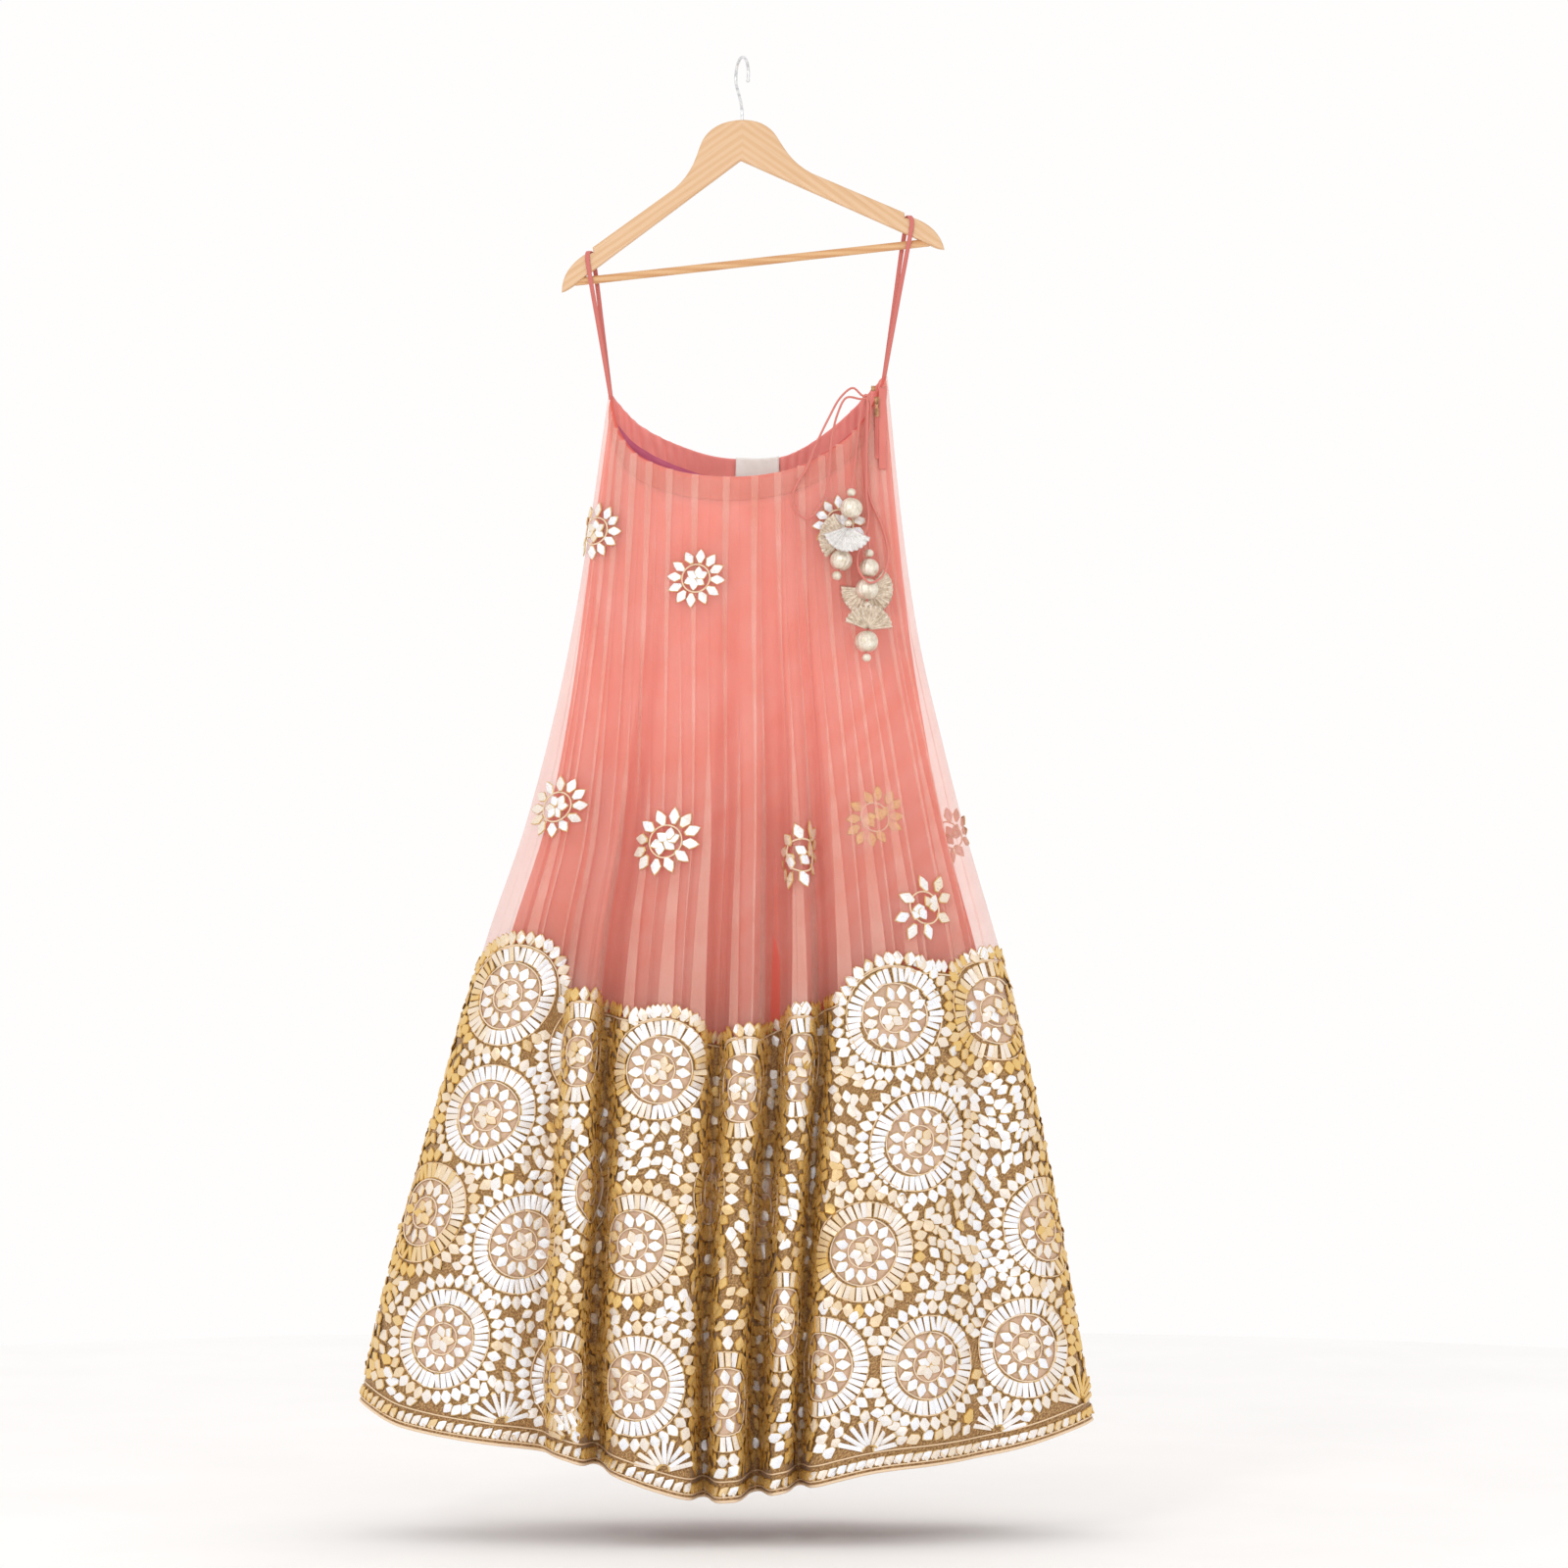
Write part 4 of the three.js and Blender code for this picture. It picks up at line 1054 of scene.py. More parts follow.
def border_edge(side, h):
    """The border's top edge: it follows the tops of the circles in the first row."""
    base = border_at(side)(h)
    best = base - 16
    reach = CIRCLE + 3
    for circle_h, circle_z in CIRCLES[side]:
        if circle_z + CIRCLE + 40 < float(border_at(side)(circle_h)):
            continue
        across = along_at(side, h, base) - along_at(side, circle_h, base)
        arc = circle_z + np.sqrt(np.clip(reach**2 - across**2, 0, None))
        best = np.where(np.abs(across) < reach, np.maximum(best, arc), best)
    return np.clip(best, base - 18, base + 12)


# %% Laying out the leaves
class Layout:
    """Leaves to sew down: distance along, height, turn from upright, length, width, kind."""

    def __init__(self, side):
        self.side = side
        self.rows = {kind: [] for kind in LEAVES}
        self.cords = []

    def add(self, kind, a, z, turn, length, width, warmth):
        given = (np.asarray(v, float) for v in (a, z, turn, length, width, warmth))
        values = np.broadcast_arrays(*given)
        self.rows[kind].append(np.stack([v.ravel() for v in values], -1))

    def around(self, centre, radius, turn):
        """Distance along and height of points round a centre (share, height)."""
        h, z0 = centre
        z = z0 + radius * np.cos(turn)
        return along_at(self.side, h, z) + radius * np.sin(turn), z

    def ring(self, kind, centre, count, inner, length, width, warmth, start=0.0, part=2 * math.pi):
        """Leaves that point outwards round a centre."""
        turn = start + part * np.arange(count) / count
        a, z = self.around(centre, inner, turn)
        shade = np.clip(warmth + draw.normal(0, 0.12, count), 0, 1)
        self.add(kind, a, z, turn, length, width, shade)

    def round_leaves(self, centre, circles, warmth):
        """A ring of leaves outside a circle, left out where another circle or an edge lies."""
        side, count = self.side, 34
        turn = 2 * math.pi * np.arange(count) / count
        a, z = self.around(centre, CIRCLE + 7, turn)
        keep = (a > 4) & (a < ALONG[side][level_index(z), -1] - 4)
        keep &= z > hem_at(side)(share_at(side, a, z)) + HEM_HEIGHT + 7
        for other in circles:
            if other != centre:
                gap = np.hypot(a - along_at(side, other[0], z), z - other[1])
                keep &= gap > CIRCLE + (8 if other < centre else 15)
        turn = turn[keep]
        a, z = self.around(centre, CIRCLE + 0.5, turn)
        tones = np.clip(warmth + 0.08 + draw.normal(0, 0.16, turn.size), 0, 1)
        self.add("kite", a, z, turn, 17.5, 14.6, tones)

    def ring_cord(self, centre, radius, warmth):
        a, z = self.around(centre, radius, 2 * math.pi * np.arange(41) / 40)
        self.cords.append((a, z, warmth))


def lay_leaves(side):
    """The parts of each circle, from its middle out."""
    layout = Layout(side)
    circles = CIRCLES[side]
    for centre in circles:
        warmth = draw.choice([0.02, 0.1, 0.2, 0.4])
        turn = draw.uniform(0, 1)
        layout.ring("kite", centre, 6, 0.5, 16.5, 13.5, 0.35, turn)
        layout.ring_cord(centre, 17.5, 0.3)
        layout.ring("kite", centre, 13, 18.5, 18.5, 13.6, 0.03, turn)
        layout.ring_cord(centre, 37, 0.3)
        layout.ring("bar", centre, 42, 37.5, 19, 7.4, warmth)
        layout.ring_cord(centre, CIRCLE - 1, 0.5)
        layout.round_leaves(centre, circles, warmth)
    return layout


def too_near(side, a, z, margin):
    near = np.zeros(a.shape, bool)
    for h, z0 in CIRCLES[side]:
        across = a - along_at(side, h, z)
        near |= across**2 + (z - z0) ** 2 < (CIRCLE + margin) ** 2
    return near


def swirl(side, a, z):
    """The way the fill's leaves point: all lean the same way round the nearest circle."""
    nearest, turn = np.full(a.size, 1e9), np.zeros(a.size)
    for circle_h, circle_z in CIRCLES[side]:
        across = a - along_at(side, circle_h, z)
        gap = np.hypot(across, z - circle_z)
        turn = np.where(gap < nearest, np.arctan2(across, z - circle_z), turn)
        nearest = np.minimum(gap, nearest)
    return turn + 0.95 + draw.normal(0, 0.16, a.size)


def scattered(side, long_gap, side_gap):
    """Places between the circles, with one gap along the leaves and one across them."""
    longest = float(ALONG[side][:, -1].max())
    a, z = (draw.uniform(0, 1, (90000, 2)) * (longest, 640) + (0, -1610)).T
    inside = (a > 5) & (a < ALONG[side][level_index(z), -1] - 4)
    a, z = a[inside], z[inside]
    h = share_at(side, a, z)
    keep = (z < border_edge(side, h) - 8) & (z > hem_at(side)(h) + HEM_HEIGHT + 7)
    keep &= ~too_near(side, a, z, 20)
    for sun_h, sun_z in SUNS[side]:
        keep &= np.hypot(a - along_at(side, sun_h, z), z - sun_z) > 37
    a, z = a[keep], z[keep]
    turn = swirl(side, a, z)
    cell = side_gap / 1.42
    reach = int(long_gap // cell) + 1
    steps = [(i, j) for i in range(-reach, reach + 1) for j in range(-reach, reach + 1)]
    cells, kept = {}, []
    for a, z, turn in zip(a.tolist(), z.tolist(), turn.tolist()):
        s, c = math.sin(turn), math.cos(turn)
        m, n = int(a // cell), int(z // cell)
        near = [cells[m + i, n + j] for i, j in steps if (m + i, n + j) in cells]
        if all((((a - b) * s + (z - y) * c) / long_gap) ** 2
               + (((a - b) * c - (z - y) * s) / side_gap) ** 2 > 1 for b, y in near):
            cells[m, n] = (a, z)
            kept.append((a, z, turn))
    return np.array(kept).T


def fill_between(layout):
    """Leaves in every gap between the circles."""
    side = layout.side
    a, z, turn = scattered(side, 11.6, 8.8)
    warmth = np.clip(0.18 + 0.2 * np.sin(a / 60 + z / 90) + draw.normal(0, 0.18, a.size), 0, 1)
    length = 17.5 * draw.uniform(0.88, 1.12, a.size)
    is_kite = draw.uniform(0, 1, a.size) < 0.75
    for name, chosen in (("kite", is_kite), ("drop", ~is_kite)):
        long, way = length[chosen], turn[chosen]
        layout.add(name, a[chosen] - np.sin(way) * (long / 2), z[chosen] - np.cos(way) * (long / 2),
                   way, long, 0.78 * long, warmth[chosen])


def top_leaves(layout):
    """The row of upright leaves that ends the border."""
    side = layout.side
    total = float(ALONG[side][level_index(-1040), -1])
    a = np.arange(5, total - 3, 9.6)
    h = share_at(side, a, -1040 + 0 * a)
    z = border_edge(side, h)
    slope = np.gradient(z, a)
    layout.add("kite", along_at(side, h, z), z - 1, np.clip(-np.arctan(slope), -1.1, 1.1), 15.5, 11.5,
               np.clip(draw.normal(0.2, 0.2, a.size), 0, 1))
    fine = np.linspace(0.004, 0.996, 700)
    edge_z = border_edge(side, fine) - 2.5
    layout.cords.append((along_at(side, fine, edge_z), edge_z, 0.3))


def hem_strip(layout):
    """A band of leaning leaves between two cords."""
    side = layout.side
    fine = np.linspace(0.003, 0.997, 900)
    for lift in (HEM_HEIGHT - 1, 6):
        z = hem_at(side)(fine) + lift
        layout.cords.append((along_at(side, fine, z), z, 0.45))
    total = float(ALONG[side][level_index(-1560), -1])
    a = np.arange(7, total - 8, 10.6)
    h = share_at(side, a, -1560 + 0 * a)
    z = hem_at(side)(h) + 8
    tones = np.clip(draw.normal(0.2, 0.2, a.size), 0, 1)
    layout.add("kite", along_at(side, h, z) - 5, z, 0.9 + 0 * a, 16.5, 10.5, tones)
    layout.add("drop", along_at(side, h, z) + 3, z - 1.5, -0.6 + 0 * a, 9.5, 7, 0.4)


def sun_centres(side, shares):
    """Where a half sun stands on the hem strip, clear of the circles."""
    centres = [(h, float(hem_at(side)(h)) + HEM_HEIGHT + 2) for h in shares]
    return [(h, z) for h, z in centres
            if not too_near(side, np.array([along_at(side, h, z)]), np.array([z]), 4)[0]]


SUNS = {1: sun_centres(1, [0.205, 0.69, 0.86, 0.98, 0.42, 0.3]),
        -1: sun_centres(-1, [0.08, 0.2, 0.33, 0.46, 0.58, 0.7, 0.84, 0.95])}
LAYOUTS = {}
for side in (1, -1):
    layout = lay_leaves(side)
    for centre in SUNS[side]:
        layout.ring("bar", centre, 9, 5, 31, 6.2, 0.25, -1.35, 2.7 * 9 / 8)
    fill_between(layout)
    top_leaves(layout)
    hem_strip(layout)
    LAYOUTS[side] = layout
    print("leaves", sum(len(r) for rows in layout.rows.values() for r in rows), "on side", side)

# %% Sewing the leaves down
LEAF_LIFT = 0.5
LEAF_THICKNESS = 1.9
DRAWN_THICKNESS = 0.26
GOTA_PARTS = 3


def leaf_arrays(side, kind, rows, lift=LEAF_LIFT):
    """Every leaf's own points, faces and tone, ready to join into one mesh; the tone holds painted shade
    in the folds.
    """
    points, faces, edge_faces = LEAVES[kind]
    a, z, turn, length, width, warmth = rows.T
    middle_a = a + np.sin(turn) * length / 2
    middle_z = z + np.cos(turn) * length / 2
    centre, right, up, out = cloth_frame(side, middle_a, middle_z)
    tip = draw.normal(0, 0.14, (2, len(a), 1))
    tilted = out + right * tip[0] + up * tip[1]
    tilted /= np.linalg.norm(tilted, axis=-1, keepdims=True)
    long_way = right * np.sin(turn)[:, None] + up * np.cos(turn)[:, None]
    long_way -= tilted * (long_way * tilted).sum(-1, keepdims=True)
    long_way /= np.linalg.norm(long_way, axis=-1, keepdims=True)
    wide_way = np.cross(long_way, tilted)
    height = lift + points[None, :, 2:] * LEAF_THICKNESS / DRAWN_THICKNESS
    world = (centre[:, None] + tilted[:, None] * height
             + long_way[:, None] * ((points[None, :, 1:2] - 0.5) * length[:, None, None])
             + wide_way[:, None] * (points[None, :, :1] * width[:, None, None]))
    # Painted shade and reflection: leaves on cloth that turns away from the front, in the folds, are
    # pushed towards gold.
    facing = np.abs(out[:, 1])
    tone = np.clip(warmth + 0.8 * (1 - np.clip((facing - 0.42) / 0.5, 0, 1)), 0, 1)
    step = np.arange(len(a))[:, None, None] * len(points)
    return (world.reshape(-1, 3), (faces[None] + step).reshape(-1, 3), np.tile(edge_faces, len(a)),
            np.repeat(tone, len(points)), middle_a)


def tone_mesh(name, points, faces, slots, warmth):
    piece = mesh_object(name, points * MM, faces.tolist(), [GOTA_FACE, GOTA_RIM])
    piece.data.polygons.foreach_set("material_index", slots.astype(np.int32))
    mark_points(piece, "warmth", warmth)
    return piece


def sew_leaves(side, end):
    """One mesh for each part of the border's width."""
    gathered = []
    for kind, chunks in LAYOUTS[side].rows.items():
        rows = np.concatenate(chunks)
        gathered.append(leaf_arrays(side, kind, rows) + (rows,))
    for part in range(GOTA_PARTS):
        start, stop = part / GOTA_PARTS, (part + 1) / GOTA_PARTS + (part == GOTA_PARTS - 1)
        joined, base = ([], [], [], []), 0
        for points, faces, rims, tones, middle_a, rows in gathered:
            share = share_at(side, middle_a, rows[:, 1])
            chosen = (share >= start) & (share < stop)
            p_mask = np.repeat(chosen, len(points) // len(rows))
            f_mask = np.repeat(chosen, len(faces) // len(rows))
            renumber = np.cumsum(p_mask) - 1 + base
            some = (points[p_mask], renumber[faces[f_mask]], rims[f_mask], tones[p_mask])
            for whole, chunk in zip(joined, some):
                whole.append(chunk)
            base += int(p_mask.sum())
        name = "gota_%s_%d" % (end, part + 1)
        piece = tone_mesh(name, *(np.concatenate(whole) for whole in joined))
        finish_piece(piece, None)
        print(name, len(piece.data.polygons), "triangles")


def cord_mesh(name, side, runs, radius, sides=5, lift=0.8):
    """Thin cords sewn on the cloth, all in one mesh."""
    points, faces, tones, base = [], [], [], 0
    turns = 2 * np.pi * np.arange(sides) / sides
    for a, z, warmth in runs:
        centre, _, _, out = cloth_frame(side, a, z)
        centre = centre + out * lift
        ahead = np.gradient(centre, axis=0)
        ahead /= np.maximum(np.linalg.norm(ahead, axis=1, keepdims=True), 1e-9)
        across = np.cross(ahead, out)
        across /= np.maximum(np.linalg.norm(across, axis=1, keepdims=True), 1e-9)
        rise = np.cross(across, ahead)
        ring = (centre[:, None] + radius * (across[:, None] * np.cos(turns)[None, :, None]
                                            + rise[:, None] * np.sin(turns)[None, :, None]))
        count = len(centre)
        points.append(ring.reshape(-1, 3))
        k, j = np.meshgrid(np.arange(count - 1), np.arange(sides), indexing="ij")
        n = (j + 1) % sides
        quads = np.stack([k * sides + j, (k + 1) * sides + j, (k + 1) * sides + n, k * sides + n], -1)
        faces += (quads.reshape(-1, 4) + base).tolist()
        faces.append([base + j for j in range(sides)])
        faces.append([base + (count - 1) * sides + j for j in range(sides)][::-1])
        tones.append(np.full(count * sides, warmth))
        base += count * sides
    piece = mesh_object(name, np.concatenate(points) * MM, faces, [GOTA_CORD])
    mark_points(piece, "warmth", np.concatenate(tones))
    piece.data.shade_smooth()
    return piece


for end, side in SIDES:
    sew_leaves(side, end)
    edging = cord_mesh("gota_cords_" + end, side, LAYOUTS[side].cords, 1.0)
    finish_piece(edging, None)
    fine = np.linspace(0.001, 0.999, 1000)
    z = hem_at(side)(fine) + 1.2
    runs = [(along_at(side, fine, z), z, 0.35)]
    piping = cord_mesh("hem_piping_" + end, side, runs, 1.7, 8, 0.0)
    finish_piece(piping, None)
    print(edging.name, len(edging.data.polygons), "faces")

# %% The border's ground
NEAR_HEM = -1550


def border_shares(side):
    """Columns evenly spaced along the cloth at the hem, so the folds stay smooth."""
    a = np.linspace(0, float(ALONG[side][level_index(NEAR_HEM), -1]), 471)
    h = share_at(side, a, NEAR_HEM + 0 * a)
    h[0], h[-1] = 0, 1
    return h


for end, side in SIDES:
    shares = border_shares(side)
    for node, top, bottom, rows in (
            ("border_", lambda h: border_edge(side, h), lambda h: hem_at(side)(h) + HEM_HEIGHT, 84),
            ("hem_", lambda h: hem_at(side)(h) + HEM_HEIGHT, lambda h: hem_at(side)(h), 5)):
        grid = panel_grid(net_face, side, shares, top, bottom, rows)
        ground = cloth_sheet("ground_" + node + end, grid - outward(grid) * 0.4, GROUND)
        finish_piece(ground, node + end)
        z = grid[..., 2]
        here = along_at(side, left_to_right(shares, side)[:, None] + 0 * z, z)
        inside = np.zeros(z.shape)
        for circle_h, circle_z in CIRCLES[side]:
            gap = np.hypot(here - along_at(side, circle_h, z), z - circle_z)
            inside = np.maximum(inside, np.clip((39 - gap) / 5, 0, 1))
        mark_points(ground, "inside", inside.ravel())
        print(node + end, declare_sheet(grid))

# %% [markdown]
# The flowers on the net are made of the same leaves: a ring of twelve round a cord ring, and
# six in the middle. Each is laid along the cloth, so a flower on a fold looks narrow. One in
# a fold has fewer leaves, and one lies beneath the net.

# %% Flowers on the net
FLOWERS = {
    1: [(-163, -531, 30), (-51, -585, 31), (109, -523, 30), (-206, -840, 33), (-84, -878, 36),
        (67, -893, 36), (203, -952, 36), (150, -850, 32)],
    -1: [(-110, -600, 31), (40, -560, 31), (-180, -850, 34), (-40, -900, 34), (110, -880, 34),
         (232, -872, 30)],
}


FLOWER_IN_A_FOLD, BURIED_FLOWER = (1, 7), (1, 8)


def make_flower(side, number, x, z, radius):
    centre = (float(hem_share_of(width_share(x, z), z)), z)
    layout = Layout(side)
    size = radius / 30
    turn = draw.uniform(0, 0.5)
    outer = 8 if (side, number) == FLOWER_IN_A_FOLD else 12
    layout.ring("kite", centre, outer, 15.5 * size, 17 * size, 11.5 * size, 0.15, turn)
    layout.ring("kite", centre, 6, 0.5, 13.5 * size, 11 * size, 0.1, turn)
    layout.ring_cord(centre, 15 * size, 0.35)
    rows = np.concatenate(layout.rows["kite"])
    cords = [(a[a > 0.5], z[a > 0.5], tone) for a, z, tone in layout.cords]
    buried = (side, number) == BURIED_FLOWER
    lift = -7.5 if buried else 2.2
    points, faces, rims, tones, _ = leaf_arrays(side, "kite", rows[rows[:, 0] > 2], lift)
    tones = np.clip(tones + 0.8 * buried, 0, 0.5 + 0.5 * buried)
    tail = "%s_%d" % ("front" if side > 0 else "back", number)
    flower = tone_mesh("flower_leaves_" + tail, points, faces, rims, tones)
    ring = cord_mesh("flower_ring_" + tail, side, cords, 1.0, lift=lift + 0.4)
    finish_piece(flower, "flower_" + tail)
    finish_piece(ring, None)


for side in (1, -1):
    for number, (x, z, radius) in enumerate(FLOWERS[side], 1):
        make_flower(side, number, x, z, radius)
print("flowers:", len(FLOWERS[1]) + len(FLOWERS[-1]))

# %% [markdown]
# Each drawstring end carries a tassel: round beads wrapped in silver silk, and fans folded
# from silver ribbon. A bead starts as a sphere, and its wrapping is cut into it as ribs. A
# fan is a part disc whose height goes up and down with the angle, more so near its rim.

# %% Tassel finishes
def wrapped_silver():
    f = Finish("wrapped silver silk", roughness=0.34, metallic=0.55, sheen=0.15)
    where = f.place()
    tone = f.ramp(f.noise(where, 160, 4), (0.3, colour(206, 192, 168)), (0.68, colour(250, 242, 228)))
    f.paint(f.mix(f.range(f.noise(where, 700, 2), 0.6, 0.8, 0, 0.5), tone, colour(150, 126, 92)))
    f.bump(f.noise(f.place((1, 1, 0.12)), 1600, 2), 0.0004, 0.5)
    f.rough(where, 400, 2, 0.26, 0.46)
    return f.material


def fan_ribbon(name, light, dark):
    f = Finish(name, roughness=0.34, metallic=0.4)
    where = f.place()
    f.paint(f.ramp(f.noise(where, 220, 4), (0.34, dark), (0.62, light)))
    f.bump(f.noise(where, 1400, 3), 0.0004, 0.6)
    f.rough(where, 500, 2, 0.24, 0.44)
    return f.material


BEAD_SILK = wrapped_silver()
BRIGHT_FAN = fan_ribbon("bright fan ribbon", colour(250, 248, 246), colour(228, 224, 220))
AGED_FAN = fan_ribbon("aged fan ribbon", colour(250, 238, 222), colour(202, 182, 158))

# %% Beads
def make_bead(name, centre, radius, axis, ribs):
    clear_selection()
    bpy.ops.mesh.primitive_uv_sphere_add(segments=ribs * 4, ring_count=20, radius=1)
    bead = bpy.context.object
    bead.name = name
    turn = Vector((0, 0, 1)).rotation_difference(axis)
    for vertex in bead.data.vertices:
        x, y, z = vertex.co
        angle = math.atan2(y, x)
        around = math.hypot(x, y)
        groove = 1 - 0.075 * around * (0.5 - 0.5 * math.cos(ribs * angle)) ** 2
        dimple = 1 - 0.12 * max(0.0, abs(z) - 0.9) / 0.1
        vertex.co = centre + turn @ Vector((x * groove, y * groove, z * 0.97 * dimple)) * radius
    bead.data.materials.append(BEAD_SILK)
    bead.data.shade_smooth()
    return bead


tassel_pieces = {}
for side_name, centres in bead_centres.items():
    pieces = []
    for k, (centre, radius) in enumerate(zip(centres, BEADS[side_name])):
        below = centres[k + 1] if k + 1 < len(centres) else centre * 2 - centres[k - 1]
        bead = make_bead("silk_bead_%s_%d" % (side_name, k + 1), centre, radius * MM,
                         (centre - below).normalized(), 16 if radius > 8 else 10)
        finish_piece(bead, "bead_%s_%d" % (side_name, k + 1))
        pieces.append(bead)
    tassel_pieces[side_name] = pieces
print("beads:", sum(len(pieces) for pieces in tassel_pieces.values()))

# %% Fans
# Which bead, 1 if just below it, inner and outer radius, way it points, spread, tilt, forward
FANS = {
    "left": [(2, 1, 2, 28, -0.1, 1.2, 0.4, 11.6), (3, 0, 13.6, 31, -1.75, 0.95, 0.2, 0)],
    "right": [(2, 0, 11.2, 29, 0.35, 2.1, 0, -8.5), (4, 1, 2, 27, 3, 1.4, 0.4, 10.5)],
}


def make_fan(name, hub, inner, reach, points, spread, tilt, forward, paint):
    """A pleated part disc of ribbon round its hub."""
    pleats = max(8, int(round(spread * 9)))
    columns, rows = pleats * 4, 9
    grid = []
    for i in range(columns + 1):
        across = 1 - 2 * i / columns
        angle = points - spread * across
        fold = math.cos(math.pi * i / 2)
        line = []
        for j in range(rows + 1):
            out = j / rows
            radius = inner + (reach - inner) * out * (1 + 0.03 * math.sin(i * 1.7) * out)
            wave = fold * (0.6 + 2.3 * out) + 1.3 * out * math.sin(i * 0.45 + 1)
            swing = angle + 0.012 * fold
            line.append(hub + Vector((math.sin(swing) * radius,
                                      -forward - tilt * (radius - inner) + wave,
                                      -math.cos(swing) * radius)) * MM)
        grid.append(line)
    flat = [tuple(p) for line in grid for p in line]
    starts = [i * (rows + 1) + j for i in range(columns) for j in range(rows)]
    faces = [(at, at + 1, at + rows + 2, at + rows + 1) for at in starts]
    fan = mesh_object(name, flat, faces, [paint])
    add_wall(fan, 0.35 * MM, 0)
    fan.data.shade_smooth()
    return fan


for side_name, fans in FANS.items():
    for k, (bead, onward, *shape) in enumerate(fans):
        one, two = bead_centres[side_name][bead:bead + 2]
        share = onward * BEADS[side_name][bead] * MM / (one - two).length
        paint = BRIGHT_FAN if (side_name, k) == ("left", 0) else AGED_FAN
        fan = make_fan("ribbon_fan_%s_%d" % (side_name, k + 1), one.lerp(two, share), *shape, paint)
        finish_piece(fan, "fan_%s_%d" % (side_name, k + 1))
        tassel_pieces[side_name].append(fan)

# %% The drawstring's paths, read once more with nothing done to them
for name in cords:
    path = cord_paths[name]

# %% [markdown]
# The hanger is pale pine. Its two arms meet at the crown, so the grain leans with each arm:
# the pattern is read from the distance to the middle, then turned by the arm's slope. The
# exact solid has the right outline, so a merged copy of it only gets its edges rounded.

# %% Wood, steel and brass
def pine_finish(name, slope, light, deep):
    f = Finish(name, roughness=0.45, coat=0.25)
    split = f.node("SeparateXYZ", Vector=f.node("TexCoord").outputs["Object"])
    folded = f.node("CombineXYZ", X=f.math("ABSOLUTE", split.outputs["X"]), Y=split.outputs["Y"],
                    Z=split.outputs["Z"]).outputs["Vector"]
    turned = f.node("Mapping", Vector=folded, Rotation=(0, -slope, 0)).outputs["Vector"]
    rings = f.stripes(f.stretched(turned, (2.5, 26, 26)), 1.6, "Z", Distortion=5.0, Detail=3.0)
    fibres = f.noise(f.stretched(turned, (20, 700, 700)), 1.0, 4)
    base = f.ramp(rings, (0.25, light), (0.85, deep))
    f.paint(f.mix(f.range(fibres, 0.5, 0.75, 0, 0.25), base, colour(186, 130, 80)))
    f.bump(fibres, 0.0003, 0.25)
    f.plug(f.shader.inputs["Roughness"], f.range(fibres, 0.3, 0.7, 0.38, 0.55))
    return f.material


def metal_finish(name, bright, dull, roughness):
    f = Finish(name, roughness=roughness, metallic=1.0)
    where = f.place()
    f.paint(f.ramp(f.noise(where, 240, 4), (0.35, dull), (0.6, bright)))
    wander = f.range(f.noise(where, 600, 3), 0.35, 0.7, roughness * 0.8, roughness * 1.5)
    f.plug(f.shader.inputs["Roughness"], wander)
    f.bump(f.noise(where, 2400, 2), 0.0001, 0.3)
    return f.material


PINE = pine_finish("pale pine", math.radians(35), colour(224, 186, 146), colour(217, 175, 131))
BAR_PINE = pine_finish("bar pine", 0.0, colour(222, 176, 126), colour(208, 154, 102))
STEEL = metal_finish("hook steel", colour(236, 236, 236), colour(196, 196, 198), 0.2)
BRASS = metal_finish("antique brass", colour(196, 150, 112), colour(136, 98, 72), 0.36)


def softened_copy(node, name, paint, width):
    """A merged copy of a CAD node with its edges rounded."""
    mesh = bpy.data.objects[node].data.copy()
    copy = bpy.data.objects.new(name, mesh)
    bpy.context.scene.collection.objects.link(copy)
    choose_only(copy)
    bpy.ops.object.mode_set(mode="EDIT")
    bpy.ops.mesh.select_all(action="SELECT")
    bpy.ops.mesh.remove_doubles(threshold=1e-6)
    bpy.ops.mesh.dissolve_limited(angle_limit=math.radians(2))
    bpy.ops.object.mode_set(mode="OBJECT")
    mesh.materials.clear()
    mesh.materials.append(paint)
    edge_round = copy.modifiers.new("rounded edges", "BEVEL")
    edge_round.width = width
    edge_round.segments = 2
    edge_round.limit_method = "ANGLE"
    edge_round.angle_limit = math.radians(40)
    edge_round.use_clamp_overlap = True
    apply_modifiers(copy)
    edges_by_angle(copy, 42)
    return copy


arms = softened_copy("hanger_arms", "pine_arms", PINE, 0.8 * MM)
finish_piece(arms, "hanger_arms")
clear_selection()
bpy.ops.mesh.primitive_cylinder_add(vertices=40, radius=4.5 * MM, depth=0.4)
bar = bpy.context.object
bar.name = "pine_bar"
ends = [on_hanger(x, 0, ROD_Z) * MM for x in (-200, 200)]
lie = Vector((0, 0, 1)).rotation_difference((ends[1] - ends[0]).normalized())
for vertex in bar.data.vertices:
    vertex.co = ends[0].lerp(ends[1], 0.5) + lie @ vertex.co
bar.data.materials.append(BAR_PINE)
edges_by_angle(bar, 42)
finish_piece(bar, "hanger_bar")

# %% The hook
WIRE_RADIUS, HOOK_RADIUS = 1.75, 21
HOOK_TURN = math.radians(110)
hook_centre = WIRE_RADIUS - HOOK_RADIUS


def hook_point(out, z):
    return Vector((out * math.cos(HOOK_TURN), out * math.sin(HOOK_TURN), z))


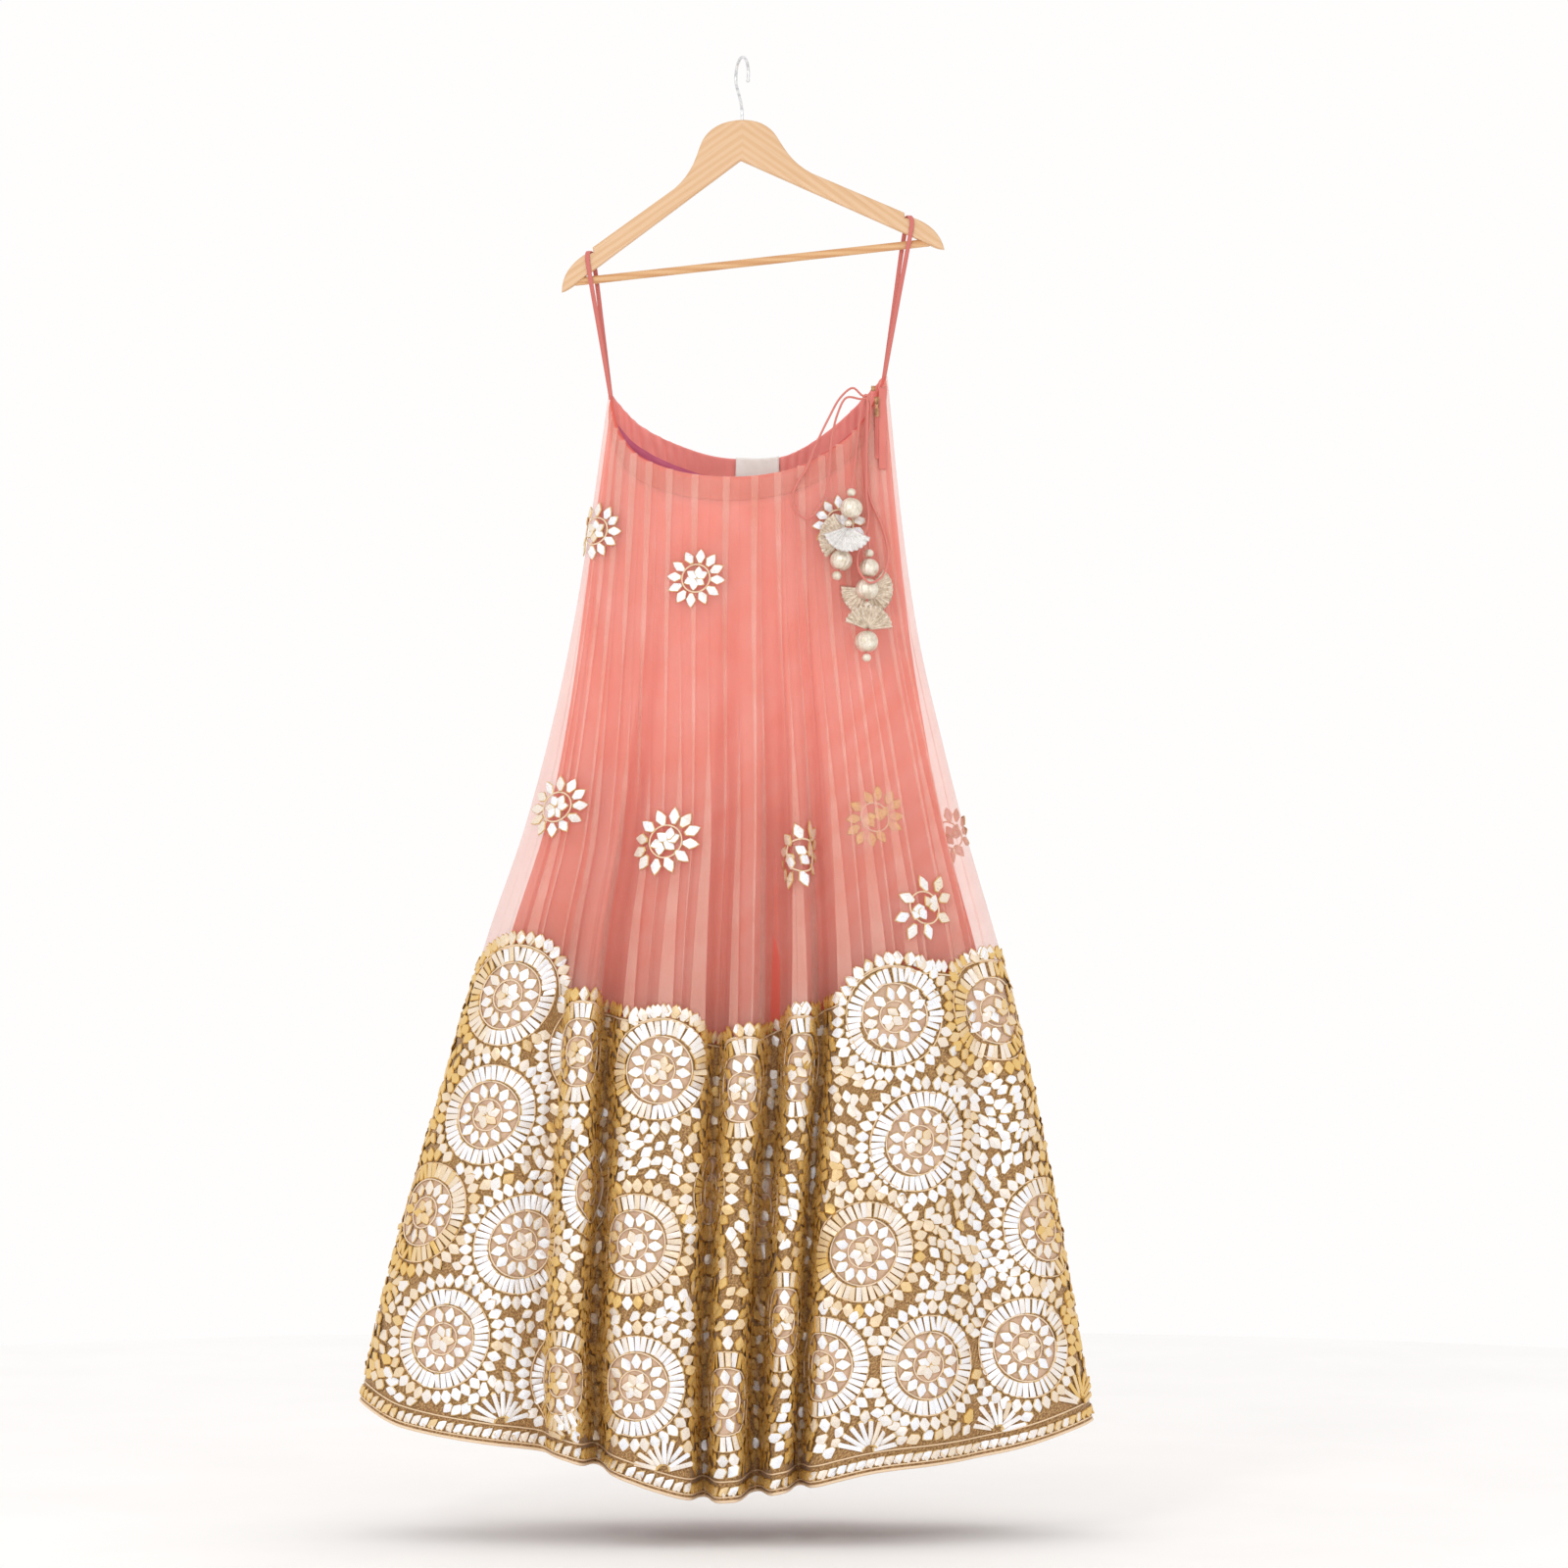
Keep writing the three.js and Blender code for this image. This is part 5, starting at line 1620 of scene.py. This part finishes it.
hook_stops = [hook_point(0, -83.4), hook_point(0, -69.4), hook_point(0, -60), hook_point(3, -51)]
for angle in range(-50, 201, 25):
    turn = math.radians(angle)
    hook_stops.append(hook_point(HOOK_RADIUS * math.cos(turn), hook_centre + HOOK_RADIUS * math.sin(turn)))
hook_path = smooth_path(in_metres(hook_stops), 6)
hook = sweep("steel_hook", hook_path, round_profile(WIRE_RADIUS * MM, 16), STEEL)
finish_piece(hook, "hook")
clear_selection()
bpy.ops.mesh.primitive_uv_sphere_add(segments=24, ring_count=12, radius=2.3 * MM,
                                     location=hook_path[-1])
tip = bpy.context.object
tip.name = "hook_tip"
bpy.ops.object.transform_apply(location=True, rotation=True, scale=True)
tip.data.materials.append(STEEL)
tip.data.shade_smooth()
finish_piece(tip, None)

# %% [markdown]
# The skirt closes at its right side: a strip of crepe covers the opening, and beneath it run
# a zip with brass teeth, its slider and pull, and a small hook at the very top.

# %% Placket, zip and waist hook
ZIP_X = 151
TEETH, TOOTH_PITCH = 36, 1.5


def face_strip(name, x, top, bottom, width, thickness, lift, paint):
    columns, rows = 8, 30
    grid = np.array([[list(on_face(x + width * (i / columns - 0.5), top + (bottom - top) * j / rows,
                                   lift + thickness + 0.35 * math.sin(j * 0.9) * (i / columns)))
                      for j in range(rows + 1)] for i in range(columns + 1)])
    return cloth_sheet(name, grid, paint, thickness=thickness * MM)


PLACKET_CREPE = crepe_finish("placket crepe", colour(226, 130, 118), colour(212, 112, 102),
                             FINE_WEAVE)
placket = face_strip("crepe_placket", 157.5, -369, -462, 8.5, 0.5, 0.2, PLACKET_CREPE)
finish_piece(placket, "placket")
TAPE = satin_finish("zip tape", colour(226, 124, 112), colour(206, 104, 94))
tape = face_strip("zip_tape_cloth", ZIP_X, -391, -450, 4, 0.6, 0.5, TAPE)
finish_piece(tape, "zip_tape")


def make_teeth():
    """One tooth is modelled and its copies run down the tape."""
    clear_selection()
    bpy.ops.mesh.primitive_cube_add(size=1)
    tooth = bpy.context.object
    tooth.name = "zip_teeth"
    bpy.ops.object.mode_set(mode="EDIT")
    bpy.ops.mesh.bevel(offset=0.2, segments=2)
    bpy.ops.object.mode_set(mode="OBJECT")
    points = np.array([v.co[:] for v in tooth.data.vertices])
    faces = [tuple(p.vertices) for p in tooth.data.polygons]
    bpy.data.objects.remove(tooth)
    all_points, all_faces = [], []
    for k in range(TEETH):
        spot = on_face(ZIP_X + (0.5 if k % 2 else -0.5), -393 - TOOTH_PITCH * k, 1.7)
        all_points.append(points * np.array([2.0, 0.9, 0.9]) + np.array(spot))
        all_faces += [tuple(v + k * len(points) for v in face) for face in faces]
    teeth = mesh_object("zip_teeth", np.concatenate(all_points) * MM, all_faces, [TAPE])
    finish_piece(teeth, None)


make_teeth()
slider = softened_copy("zip_slider", "brass_slider", BRASS, 0.25 * MM)
finish_piece(slider, "zip_slider")
pull = softened_copy("pull_tab", "brass_pull", BRASS, 0.18 * MM)
finish_piece(pull, "pull_tab", "pull_tab")
clasp = softened_copy("waist_hook", "brass_waist_hook", BRASS, 0.4 * MM)
finish_piece(clasp, "waist_hook")
print("hardware on", placket.name)
